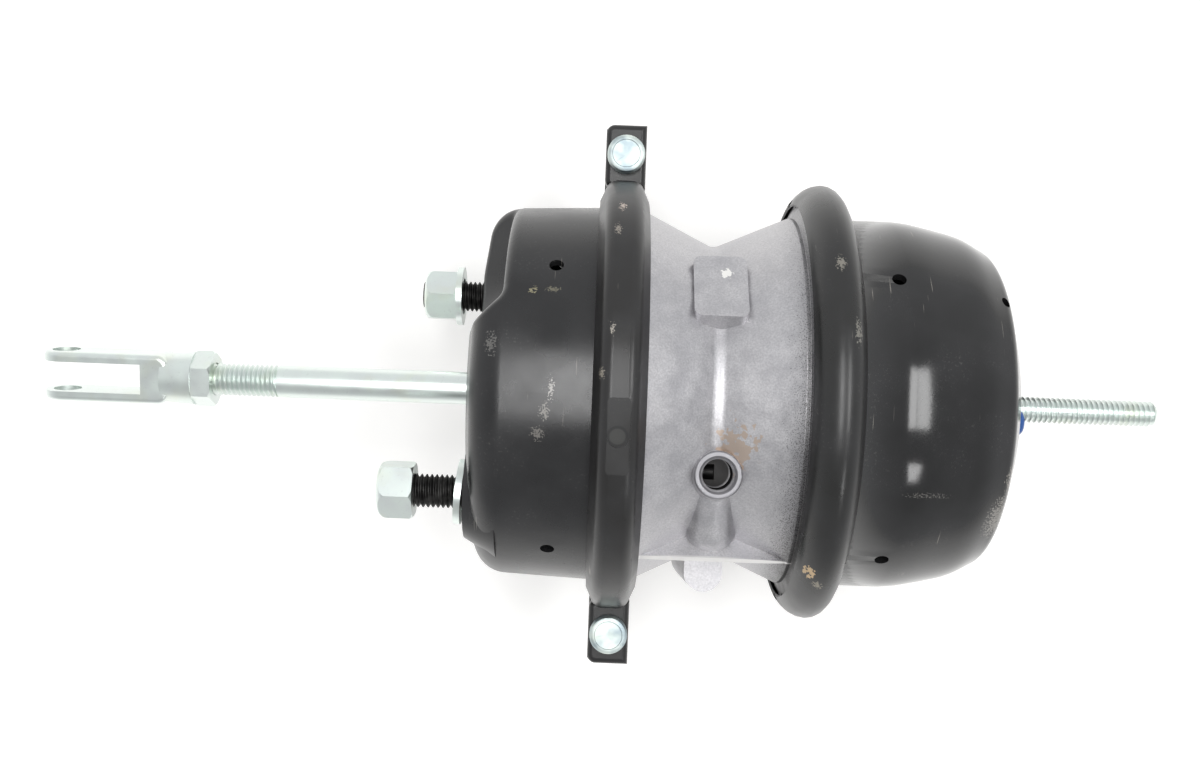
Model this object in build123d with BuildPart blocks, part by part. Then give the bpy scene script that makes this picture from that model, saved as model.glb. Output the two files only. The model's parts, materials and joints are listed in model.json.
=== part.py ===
from build123d import *
import math
import os

os.makedirs("parts", exist_ok=True)

# Type 30/30 combination brake chamber: a service chamber and a spring chamber
# on one flange case.  Millimetres.  The chamber axis is X: the clevis points
# to -X and the release bolt to +X.  X = 0 is the mounting face, which the two
# studs pass through, and +Z is the side that the near air port faces.

# ---- bought-in fasteners ----
stud_diameter = 15.875           # 5/8-11 UNC
stud_shoulder_radius = 8.4       # plain shank in the housing and its plate
stud_grip_radius = 7.7           # thread's mean radius, where a nut runs
stud_end_chamfer = 1.2
stud_spacing = 120.65            # 4.75 in between stud centres
stud_turn = 52.0                 # stud line, from +Z towards -Y, degrees
stud_reach = 33.0                # stud end ahead of the mounting face
stud_head_radius = 13.0
stud_head_height = 6.0
stud_plate_thickness = 4.0
stud_plate_width = 34.0
stud_plate_ring = 6.0            # plate left round the rod hole
stud_nut_flats = 23.81           # 15/16 in across flats
stud_nut_height = 16.5           # with the domed end that holds the locking insert
stud_nut_crown = 5.0
near_nut_back = -24.0            # bearing side of each nut
far_nut_back = -15.5
near_nut_turn = 39.0
far_nut_turn = 30.0
hex_chamfer = 1.2                # on the corners of plain hexagons
washer_radius = 15.0
washer_thickness = 3.0
near_washer_tilt = 4.0
fastener_clearance = 0.10        # nut thread to stud, radial
washer_clearance = 1.40          # washer hole to stud, radial
hole_clearance = 0.40            # through hole to bolt or stud, radial

clamp_bolt_diameter = 11.11      # 7/16-14 UNC
clamp_head_radius = 9.0
clamp_head_height = 6.5
clamp_head_round = 1.4
clamp_nut_flats = 15.88          # 5/8 in across flats
clamp_nut_height = 9.5
clamp_bolt_end = 3.0             # bolt end past its nut

release_diameter = 12.7
release_end = 331.0
release_head_width = 26.0        # the T across the bolt's foot
release_head_height = 7.0
release_nut_flats = 22.2
release_nut_height = 12.0
release_washer_radius = 16.0
release_washer_thickness = 3.0

# ---- service chamber ----
housing_wall = 3.4
service_face_radius = 58.0       # flat part of the mounting face
side_draft = 2.5                 # side wall narrows by this towards the mounting face
shoulder_drop = 5.0              # that corner behind the mounting face
shoulder_round = 15.0
face_round = 30.0                # blend between the flat face and the shoulder
stud_pad_radius = 21.0           # raised pad round each stud and between them
pad_draft = 30.0
flange_depth = 7.5               # clamp flange beyond the side wall
service_flange = 65.0            # mounting face to the flange's bead side
flange_radius = 98.0
flank_slope = 0.45               # clamp flange and clamp leg, X per radius
service_bead = 6.0               # squeezed thickness of the diaphragm's bead
rod_hole_radius = 21.0
relief_depth = 16.0              # the two pockets that clear the bracket
relief_corner_y = 42.0
relief_corner_z = 8.0
relief_slope = 45.0
relief_round = 14.0
relief_floor_round = 8.0         # where the pocket's wall meets its floor
relief_edge_round = 5.0          # where the pocket meets the face and the side wall
vent_diameter = 6.4
vent_turn = 38.5                 # first of four vents, from +Z towards +Y
service_vent_x = 38.7

# ---- push rod ----
rod_diameter = 15.875
plate_front = 84.5               # rod side of the push plate
plate_thickness = 3.2
plate_radius = 64.0
plate_hub_radius = 17.0
plate_hub_height = 7.0
rod_end = -146.0
jam_nut_front = -138.0           # clevis side of the jam nut
jam_nut_height = 9.5
guide_flange_radius = 28.0
guide_flange_thickness = 3.0
guide_nose = 0.8                 # guide hub's end behind the mounting face
guide_clearance = 0.35           # guide to rod, radial
return_small_radius = 25.0       # wire's centre at the housing end
return_large_radius = 57.0
return_turns = 4.0
seat_gap = 0.30                  # between pieces that touch but also move

# ---- clevis ----
clevis_length = 73.5             # jam nut face to the tips of the ears
clevis_width = 20.0
clevis_gap = 14.5                # slot for the slack adjuster's arm
ear_thickness = 4.8
ear_hole_radius = 6.45           # for a 1/2 in pin
clevis_slot_depth = 49.0
clevis_hub_radius = 13.0
clevis_hub_length = 11.0
clevis_hub_root = 4.0            # hub run into the yoke
clevis_shoulder_round = 6.0
clevis_edge_round = 2.5
clevis_turn = 10.0               # how far the rod stands turned about X

# ---- diaphragms ----
diaphragm_thickness = 3.2
bead_width = 12.0                # clamped rim of the service diaphragm, radial
spring_bead_width = 11.0
diaphragm_lip = 1.6              # wall starts this far inside the bead
diaphragm_slope = 0.60
diaphragm_round = 8.0

# ---- clamp band ----
band_wall = 2.8
band_crown_rise = 5.5            # band's crown beyond the flanges
band_leg_depth = 5.5             # band's legs below the flanges' rims
band_clearance = 0.15            # clamp leg to flange
band_half_gap = 2.0              # each half stops this far from the parting plane
lug_width = 19.5
lug_height = 12.0                # lug's outer face above the parting plane
lug_wall = 3.4
lug_length = 26.5                # lug end beyond the band's crown
lug_root_gap = 1.5               # lug's inner end to the flanges' rims, radial
lug_bolt_inset = 15.0            # clamp bolt from the lug's end
lug_round = 4.0
lug_edge_round = 2.8             # along the lug's outer edges
band_round = 3.0                 # inside the crown's corners
band_flat_turn = 9.5             # stamped flat, from the middle of each half towards -Y
band_flat_depth = 1.3
band_flat_width = 10.0
band_dimple_depth = 1.8
band_dimple_radius = 4.8

# ---- flange case ----
case_wall_face = 91.5            # web's service side
case_web_back = 121.0            # web's spring side
waist_x = 111.5
waist_radius = 72.8
case_left_step = 1.9             # casting below the clamp flank
spring_flange = 160.0            # case flange's bead side
case_flange_thickness = 8.0
case_right_root = 147.0
case_land = 1.6
waist_round = 7.0
ring_flange_radius = 97.0
case_right_step = 8.6            # casting below the ring's flange
ring_slope = 0.36
cavity_step = 1.0                # cavities stop this far inside the beads
service_floor_radius = 73.0
spring_floor_radius = 65.0
port_diameter = 15.2             # 3/8-18 NPTF at its small end
port_x = 112.3
port_boss_radius = 12.2
near_port_y = -33.0
near_port_height = 74.5
far_port_y = -84.0
far_port_height = -44.0
port_depth = 22.0
port_chamfer = 0.9
port_boss_round = 1.6
port_taper = 3.0
drilling_radius = 3.5
ridge_top_z = 56.0               # centre of the near port's ridge, port end
ridge_end_y = -58.0
ridge_end_z = 44.0
far_root_length = 26.0
far_boss_length = 58.0
pad_turn = 38.8                  # data pad, from +Z towards +Y
pad_length = 24.0
pad_height = 36.0
pad_radius = 80.0
pad_round = 4.0
fin_turn = 56.0                  # stiffening fin, from +Z towards -Y
fin_thickness = 3.8
fin_radius = 88.0

# ---- spring chamber ----
spring_bead = 7.5
head_wall = 3.6
head_step = 8.4                  # spring housing's side below its flange
head_side_end = 200.0            # inside corners of the pressing, from here on
head_end = 251.5                 # but this is its outer end
head_flare = 5.0                 # bend between the side wall and the flange
head_flare_round = 3.0
head_taper_x = 227.0
head_taper_radius = 79.2
head_shoulder_x = 243.0
head_shoulder_radius = 72.2
head_face_radius = 54.0
head_side_round = 60.0
head_shoulder_round = 7.0
head_face_round = 18.0
head_recess_edge = 2.0
head_recess_round = 6.6
head_recess_radius = 29.0
head_recess_floor = 232.0
ring_wall = 2.5
ring_root_depth = 6.6            # crimped lip below the flange's rim
ring_crest_rise = 7.6            # ring's crest beyond it
ring_left = 146.3
ring_right = 178.4
ring_left_shoulder = 150.0
ring_right_shoulder = 174.7
ring_shoulder_rise = 2.0
ring_crown_inset = 6.0
ring_slot_inset = 3.5            # slots below the flange's rim
ring_slot_length = 11.0
ring_slot_width = 3.0
ring_slot_depth = 6.0
head_vent_x = 188.5
drain_x = 242.0
drain_diameter = 5.0

# ---- parts inside ----
adapter_radius = 12.5
adapter_tip_radius = 30.0
adapter_tip_thickness = 4.0
adapter_base_radius = 58.0
adapter_base_thickness = 4.0
adapter_lip = 3.0                # rim pressed towards the service side
tip_margin = 3.0                 # recess round the tip plate, radial
running_clearance = 0.10
bush_wall = 3.4
bush_length = 9.0
o_ring_section = 3.5
caged_x = 186.0                  # spring diaphragm's left side when caged
pressure_plate_thickness = 5.0
pressure_plate_radius = 68.0
tower_radius = 19.0
tower_height = 24.0
tower_wall = 5.0
piston_rim = 6.0
key_length = 30.0                # keyhole that the T-head passes
key_width = 14.0
spring_wire = 10.5
return_wire = 3.8
adapter_spring_wire = 3.2
adapter_spring_radius = 38.0
adapter_spring_turns = 4.0
power_large_radius = 56.0
power_small_radius = 44.0
power_turns = 3.5

plug_radius = 6.5
plug_length = 15.5
plug_y = -6.2
plug_z = 13.0
plug_tab_radius = 10.0
plug_tab_thickness = 1.8

# ---- places that follow from the sizes above ----
service_root_radius = flange_radius - flange_depth
shoulder_radius = service_root_radius - side_draft
band_crown_radius = flange_radius + band_crown_rise
band_leg_radius = flange_radius - band_leg_depth
band_inside_radius = band_crown_radius - band_wall
lug_reach = band_crown_radius + lug_length
lug_bolt_offset = lug_reach - lug_bolt_inset
case_left_radius = service_root_radius - case_left_step
case_right_radius = ring_flange_radius - case_right_step
service_bead_radius = flange_radius - bead_width
spring_bead_radius = ring_flange_radius - spring_bead_width
service_cavity_radius = service_bead_radius - cavity_step
spring_cavity_radius = spring_bead_radius - cavity_step
head_radius = ring_flange_radius - head_step
ring_root_radius = ring_flange_radius - ring_root_depth
ring_crest_radius = ring_flange_radius + ring_crest_rise
ring_slot_radius = ring_flange_radius - ring_slot_inset
case_face = service_flange + service_bead
head_flange = spring_flange + spring_bead
plate_back = plate_front + plate_thickness
plate_bore = rod_diameter / 2 + fastener_clearance
stud_plate_front = housing_wall
stud_plate_back = stud_plate_front + stud_plate_thickness
guide_flange_x = stud_plate_back + seat_gap
guide_bore = rod_diameter / 2 + guide_clearance
spring_seat_x = guide_flange_x + guide_flange_thickness
clevis_tip = jam_nut_front - clevis_length
lug_root = flange_radius + lug_root_gap
clevis_pin_x = clevis_tip + clevis_width / 2
clevis_outer = clevis_gap + 2 * ear_thickness
jam_nut_back = jam_nut_front + jam_nut_height
service_diaphragm_back = plate_back + seat_gap + diaphragm_thickness
adapter_tip_back = service_diaphragm_back + seat_gap + adapter_tip_thickness
adapter_base_back = caged_x - seat_gap
adapter_base_front = adapter_base_back - adapter_base_thickness
spring_diaphragm_back = caged_x + diaphragm_thickness
pressure_plate_x = spring_diaphragm_back + seat_gap
pressure_plate_back = pressure_plate_x + pressure_plate_thickness
tower_end = pressure_plate_back + tower_height
recess_inside = head_recess_floor - head_wall
release_head_x = tower_end - tower_wall - release_head_height
plug_x = head_recess_floor + release_washer_thickness + release_nut_height + seat_gap
bush_front = case_web_back - bush_length
o_ring_places = [bush_front - o_ring_section, bush_front - 3 * o_ring_section]


def about_axis(x, radius, turn):
    """Point at a radius from the chamber axis, turned from +Z towards +Y."""
    a = math.radians(turn)
    return (x, radius * math.sin(a), radius * math.cos(a))


def cross_plane(x, y=0.0, z=0.0, turn=0.0):
    """Plane across the chamber axis that looks towards -X, for round and even profiles."""
    a = math.radians(turn)
    return Plane(origin=(x, y, z), x_dir=(0, math.cos(a), math.sin(a)), z_dir=(-1, 0, 0))


def layout_plane(x, turn=0.0):
    """Plane across the chamber axis that looks towards +X; its x and y are Y and Z."""
    a = math.radians(turn)
    return Plane(origin=(x, 0, 0), x_dir=(0, math.cos(a), math.sin(a)), z_dir=(1, 0, 0))


def radial_plane(x, radius, turn):
    """Plane that faces outwards at a radius, turned from +Z towards +Y; its x is X."""
    a = math.radians(turn)
    return Plane(
        origin=about_axis(x, radius, turn),
        x_dir=(1, 0, 0),
        z_dir=(0, math.sin(a), math.cos(a)),
    )


near_stud = about_axis(0, stud_spacing / 2, -stud_turn)
far_stud = about_axis(0, stud_spacing / 2, 180 - stud_turn)
stud_places = [near_stud, far_stud]


def write(part, label):
    part.label = label
    export_step(part, f"parts/{label}.step")


# ---------------------------------------------------------------- service housing
def wall_shift(inset, draft):
    """How far a drafted wall moves at the plane of its face, when both are inset."""
    return inset * math.tan(math.radians(90 - draft) / 2)


def service_form(inset):
    """Solid outline of the service housing drawn in by inset, without its flange."""
    with BuildPart() as form:
        with BuildSketch(Plane.XZ):
            with BuildLine():
                FilletPolyline(
                    (inset, 0),
                    (inset, service_face_radius),
                    (shoulder_drop + inset, shoulder_radius - inset),
                    (service_flange, service_root_radius - inset),
                    radius=[face_round, shoulder_round - inset],
                )
                Polyline(
                    (service_flange, service_root_radius - inset),
                    (service_flange, 0),
                    (inset, 0),
                )
            make_face()
        revolve(axis=Axis.X)
        with BuildSketch(layout_plane(inset, stud_turn + 90)):
            SlotCenterToCenter(stud_spacing, 2 * (stud_pad_radius - wall_shift(inset, pad_draft)))
        extrude(amount=shoulder_round, taper=-pad_draft)
    return form.part


def relief_tool(inset):
    """Pair of pockets pressed into the mounting end, grown by inset for the cavity."""
    depth = relief_depth + inset + housing_wall
    run = depth * math.tan(math.radians(relief_slope))
    shift = run + wall_shift(inset, relief_slope)
    with BuildPart() as tool:
        for turn in (0, 180):
            with BuildSketch(layout_plane(-housing_wall, turn)) as mouth:
                with Locations((relief_corner_y - shift, relief_corner_z - shift)):
                    Rectangle(
                        2 * service_root_radius,
                        2 * service_root_radius,
                        align=(Align.MIN, Align.MIN),
                    )
                fillet(mouth.vertices().sort_by_distance((0, 0, 0))[0], relief_round + run)
            extrude(amount=depth, taper=relief_slope)
    return tool.part


def service_flank(radius):
    """X of the service housing flange's outer flank."""
    return service_flange - housing_wall - flank_slope * (flange_radius - radius)


def case_flank(radius):
    """X of the flange case's flank on the service side."""
    return case_face + housing_wall + flank_slope * (flange_radius - radius)


def vent_drills(x):
    """Four radial drills a quarter turn apart, to cut a row of vents with."""
    with BuildPart() as drills:
        for quarter in range(4):
            with BuildSketch(radial_plane(x, shoulder_radius / 2, vent_turn + 90 * quarter)):
                Circle(vent_diameter / 2)
            extrude(amount=flange_radius)
    return drills.part


service_bore = service_root_radius - housing_wall
relief_outside = relief_tool(0)
relief_inside = relief_tool(housing_wall)
service_solid = service_form(0)
service_hollow = service_form(housing_wall)
service_vents = vent_drills(service_vent_x)
head_vents = vent_drills(head_vent_x)

with BuildPart() as service_cavity:
    add(service_hollow)
    add(relief_inside, mode=Mode.SUBTRACT)


def on_pockets(edge):
    """True for an edge of the pressed form that lies on one of the relief pockets."""
    return any(face.distance_to(edge @ 0.5) < 0.001 for face in relief_outside.faces())


def is_rim(edge):
    """True for the long arc where a pocket's floor runs out of the side wall."""
    return edge.geom_type == GeomType.CIRCLE and edge.radius > relief_corner_y + relief_corner_z


with BuildPart() as service_pressing:
    add(service_solid)
    add(relief_outside, mode=Mode.SUBTRACT)
    floor_edges = service_pressing.edges().filter_by_position(
        Axis.X, relief_depth - seat_gap, relief_depth + seat_gap
    )
    fillet(floor_edges.filter_by(lambda edge: not is_rim(edge)), relief_floor_round)
    pocket_edges = service_pressing.edges().filter_by(on_pockets)
    mouth_edges = pocket_edges.filter_by(lambda edge: (edge @ 0.5).X < shoulder_drop / 2)
    rim_edges = pocket_edges.filter_by(
        lambda edge: is_rim(edge) and abs((edge @ 0.5).X - relief_depth) < seat_gap
    )
    fillet(mouth_edges + rim_edges, relief_edge_round)

with BuildPart() as service_housing:
    add(service_pressing.part)
    with BuildSketch(Plane.XZ):
        with BuildLine():
            Polyline(
                (service_flange - 2 * housing_wall, service_bore),
                (service_flank(service_root_radius), service_root_radius),
                (service_flank(flange_radius), flange_radius),
                (service_flange, flange_radius),
                (service_flange, service_bore),
                close=True,
            )
        make_face()
    revolve(axis=Axis.X)
    add(service_cavity.part, mode=Mode.SUBTRACT)
    with BuildSketch(layout_plane(0)):
        Circle(rod_hole_radius)
        with Locations(*[(place[1], place[2]) for place in stud_places]):
            Circle(stud_shoulder_radius + fastener_clearance)
    extrude(amount=2 * housing_wall, mode=Mode.SUBTRACT)
    add(service_vents, mode=Mode.SUBTRACT)
write(service_housing.part, "service_housing")

# ---------------------------------------------------------------- mounting studs
with BuildPart() as stud_plate:
    with BuildSketch(layout_plane(stud_plate_front, stud_turn + 90)):
        SlotCenterToCenter(stud_spacing, stud_plate_width)
        Circle(rod_hole_radius + stud_plate_ring)
        Circle(rod_hole_radius, mode=Mode.SUBTRACT)
        with Locations((stud_spacing / 2, 0), (-stud_spacing / 2, 0)):
            Circle(stud_shoulder_radius + fastener_clearance, mode=Mode.SUBTRACT)
    extrude(amount=stud_plate_thickness)
write(stud_plate.part, "stud_plate")

nut_backs = [near_nut_back, far_nut_back]
with BuildPart() as mounting_studs:
    for place, back in zip(stud_places, nut_backs):
        with BuildSketch(cross_plane(back, place[1], place[2])):
            Circle(stud_grip_radius)
        extrude(amount=stud_reach + back)
        with BuildSketch(cross_plane(back, place[1], place[2])):
            Circle(stud_diameter / 2)
        extrude(amount=back)
        with BuildSketch(cross_plane(0, place[1], place[2])):
            Circle(stud_shoulder_radius)
        extrude(amount=-stud_plate_back)
        with BuildSketch(cross_plane(stud_plate_back, place[1], place[2])):
            Circle(stud_head_radius)
        extrude(amount=-stud_head_height)
    free_ends = mounting_studs.edges().filter_by(GeomType.CIRCLE).group_by(Axis.X)[0]
    chamfer(free_ends, stud_end_chamfer)
write(mounting_studs.part, "mounting_studs")


def turned_hex(seat, flats, height, bore, crown):
    """Hexagon on a seat plane, chamfered at the seat and rounded at its far end."""
    with BuildPart() as piece:
        with BuildSketch(seat):
            Circle(flats / math.sqrt(3))
        extrude(amount=height)
        rims = piece.edges().filter_by(GeomType.CIRCLE)
        chamfer(rims.sort_by(lambda rim: (rim.center() - seat.origin).length)[0], hex_chamfer)
        rims = piece.edges().filter_by(GeomType.CIRCLE)
        fillet(rims.sort_by(lambda rim: (rim.center() - seat.origin).length)[-1], crown)
        with BuildSketch(seat):
            RegularPolygon(flats / 2, 6, major_radius=False)
        extrude(amount=height, mode=Mode.INTERSECT)
        with BuildSketch(seat):
            Circle(bore)
        extrude(amount=height, mode=Mode.SUBTRACT)
    return piece.part


stud_nut_bore = stud_grip_radius + fastener_clearance
nut_turns = [near_nut_turn, far_nut_turn]
stud_nuts = [
    turned_hex(
        cross_plane(back, place[1], place[2], turn),
        stud_nut_flats,
        stud_nut_height,
        stud_nut_bore,
        stud_nut_crown,
    )
    for place, back, turn in zip(stud_places, nut_backs, nut_turns)
]
with BuildPart() as mounting_nuts:
    add(stud_nuts)
write(mounting_nuts.part, "mounting_nuts")

tilt = math.radians(near_washer_tilt)
near_washer_x = -washer_radius * math.sin(tilt) - seat_gap
near_washer_plane = Plane(
    origin=(near_washer_x, near_stud[1], near_stud[2]),
    z_dir=(-math.cos(tilt), math.sin(tilt), 0),
)
far_washer_plane = cross_plane(far_nut_back + washer_thickness, far_stud[1], far_stud[2])
with BuildPart() as mounting_washers:
    for plane in (near_washer_plane, far_washer_plane):
        with BuildSketch(plane):
            Circle(washer_radius)
            Circle(stud_diameter / 2 + washer_clearance, mode=Mode.SUBTRACT)
        extrude(amount=washer_thickness)
write(mounting_washers.part, "mounting_washers")

# ---------------------------------------------------------------- push rod
with BuildPart() as rod_guide:
    with BuildSketch(Plane.XZ):
        with BuildLine():
            Polyline(
                (guide_nose, guide_bore),
                (guide_nose, rod_hole_radius - hole_clearance),
                (guide_flange_x, rod_hole_radius - hole_clearance),
                (guide_flange_x, guide_flange_radius),
                (spring_seat_x, guide_flange_radius),
                (spring_seat_x, guide_bore),
                close=True,
            )
        make_face()
    revolve(axis=Axis.X)
write(rod_guide.part, "rod_guide")

with BuildPart() as push_rod:
    with BuildSketch(cross_plane(rod_end)):
        Circle(rod_diameter / 2)
    extrude(amount=rod_end - plate_back)
    chamfer(push_rod.edges().filter_by(GeomType.CIRCLE).sort_by(Axis.X)[0], 1.0)
write(push_rod.part, "push_rod")

with BuildPart() as push_plate:
    with BuildSketch(Plane.XZ):
        with BuildLine():
            FilletPolyline(
                (plate_front - plate_hub_height, plate_bore),
                (plate_front - plate_hub_height, plate_hub_radius - plate_hub_height / 2),
                (plate_front, plate_hub_radius),
                (plate_front, plate_radius),
                (plate_back, plate_radius),
                (plate_back, plate_bore),
                radius=[1.5, 2.0, 0.8, 2.2],
            )
            Line((plate_back, plate_bore), (plate_front - plate_hub_height, plate_bore))
        make_face()
    revolve(axis=Axis.X)
write(push_plate.part, "push_plate")


def coil(start_x, end_x, start_radius, end_radius, turns, wire):
    """Round-wire spring whose wire seats between start_x and end_x."""
    length = end_x - start_x - wire
    cone = math.degrees(math.atan2(end_radius - start_radius, length))
    with BuildPart() as spring:
        with BuildLine() as path:
            Helix(
                pitch=length / turns,
                height=length,
                radius=start_radius,
                center=(start_x + wire / 2, 0, 0),
                direction=(1, 0, 0),
                cone_angle=cone,
            )
        helix = path.edges()[0]
        with BuildSketch(Plane(origin=helix @ 0, z_dir=helix % 0)):
            Circle(wire / 2)
        sweep()
    return spring.part


return_spring = coil(
    spring_seat_x + seat_gap,
    plate_front - seat_gap,
    return_small_radius,
    return_large_radius,
    return_turns,
    return_wire,
)
write(return_spring, "return_spring")

# ---------------------------------------------------------------- clevis
turned = math.radians(clevis_turn)
ear_axis = (0, math.cos(turned), math.sin(turned))
side_axis = (0, -math.sin(turned), math.cos(turned))
clevis_side = Plane(origin=(0, 0, 0), x_dir=(1, 0, 0), z_dir=side_axis)
clevis_top = Plane(origin=(0, 0, 0), x_dir=(1, 0, 0), z_dir=ear_axis)
slot_bottom = clevis_tip + clevis_slot_depth
yoke_end = jam_nut_front - clevis_hub_length

with BuildPart() as clevis:
    with BuildSketch(clevis_side):
        with BuildLine():
            FilletPolyline(
                (clevis_tip, -clevis_outer / 2),
                (yoke_end, -clevis_outer / 2),
                (yoke_end, clevis_outer / 2),
                (clevis_tip, clevis_outer / 2),
                radius=clevis_shoulder_round,
            )
            Line((clevis_tip, clevis_outer / 2), (clevis_tip, -clevis_outer / 2))
        make_face()
    extrude(amount=clevis_width / 2, both=True)
    with BuildSketch(clevis_top):
        with Locations((clevis_pin_x, 0)):
            Circle(clevis_width / 2)
        with Locations((clevis_pin_x, 0)):
            Rectangle(
                yoke_end - clevis_pin_x,
                clevis_width,
                align=(Align.MIN, Align.CENTER),
            )
    extrude(amount=clevis_outer, both=True, mode=Mode.INTERSECT)
    fillet(clevis.edges().filter_by(Axis.X), clevis_edge_round)
    with BuildSketch(cross_plane(jam_nut_front)):
        Circle(clevis_hub_radius)
    extrude(amount=clevis_hub_length + clevis_hub_root, taper=4)
    with BuildSketch(clevis_side):
        with Locations((slot_bottom, 0)):
            SlotOverall(2 * clevis_slot_depth + clevis_gap, clevis_gap)
        with Locations((slot_bottom, 0)):
            Rectangle(
                2 * clevis_gap,
                clevis_gap,
                align=(Align.MIN, Align.CENTER),
                mode=Mode.SUBTRACT,
            )
    extrude(amount=clevis_width, both=True, mode=Mode.SUBTRACT)
    with BuildSketch(clevis_top):
        with Locations((clevis_pin_x, 0)):
            Circle(ear_hole_radius)
    extrude(amount=clevis_outer, both=True, mode=Mode.SUBTRACT)
    with BuildSketch(cross_plane(jam_nut_front)):
        Circle(rod_diameter / 2 + fastener_clearance)
    extrude(amount=jam_nut_front - rod_end + seat_gap, mode=Mode.SUBTRACT)
write(clevis.part, "clevis")

jam_nut = turned_hex(
    cross_plane(jam_nut_back, turn=clevis_turn),
    stud_nut_flats,
    jam_nut_height,
    rod_diameter / 2 + fastener_clearance,
    hex_chamfer,
)
write(jam_nut, "jam_nut")

# ---------------------------------------------------------------- flange case
web_recess_back = case_wall_face + adapter_tip_thickness + 2 * seat_gap
rod_way = adapter_radius + running_clearance


def ring_flank(radius):
    """X of the flange case's flank on the spring side."""
    return spring_flange - case_flange_thickness - ring_slope * (ring_flange_radius - radius)


def circles_at(piece, height, radius):
    """Edges of a piece that are circles of a radius at one height."""
    rings = piece.edges().filter_by(GeomType.CIRCLE)
    rings = rings.filter_by_position(Axis.Z, height - seat_gap, height + seat_gap)
    return rings.filter_by(lambda edge: abs(edge.radius - radius) < seat_gap)


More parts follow.
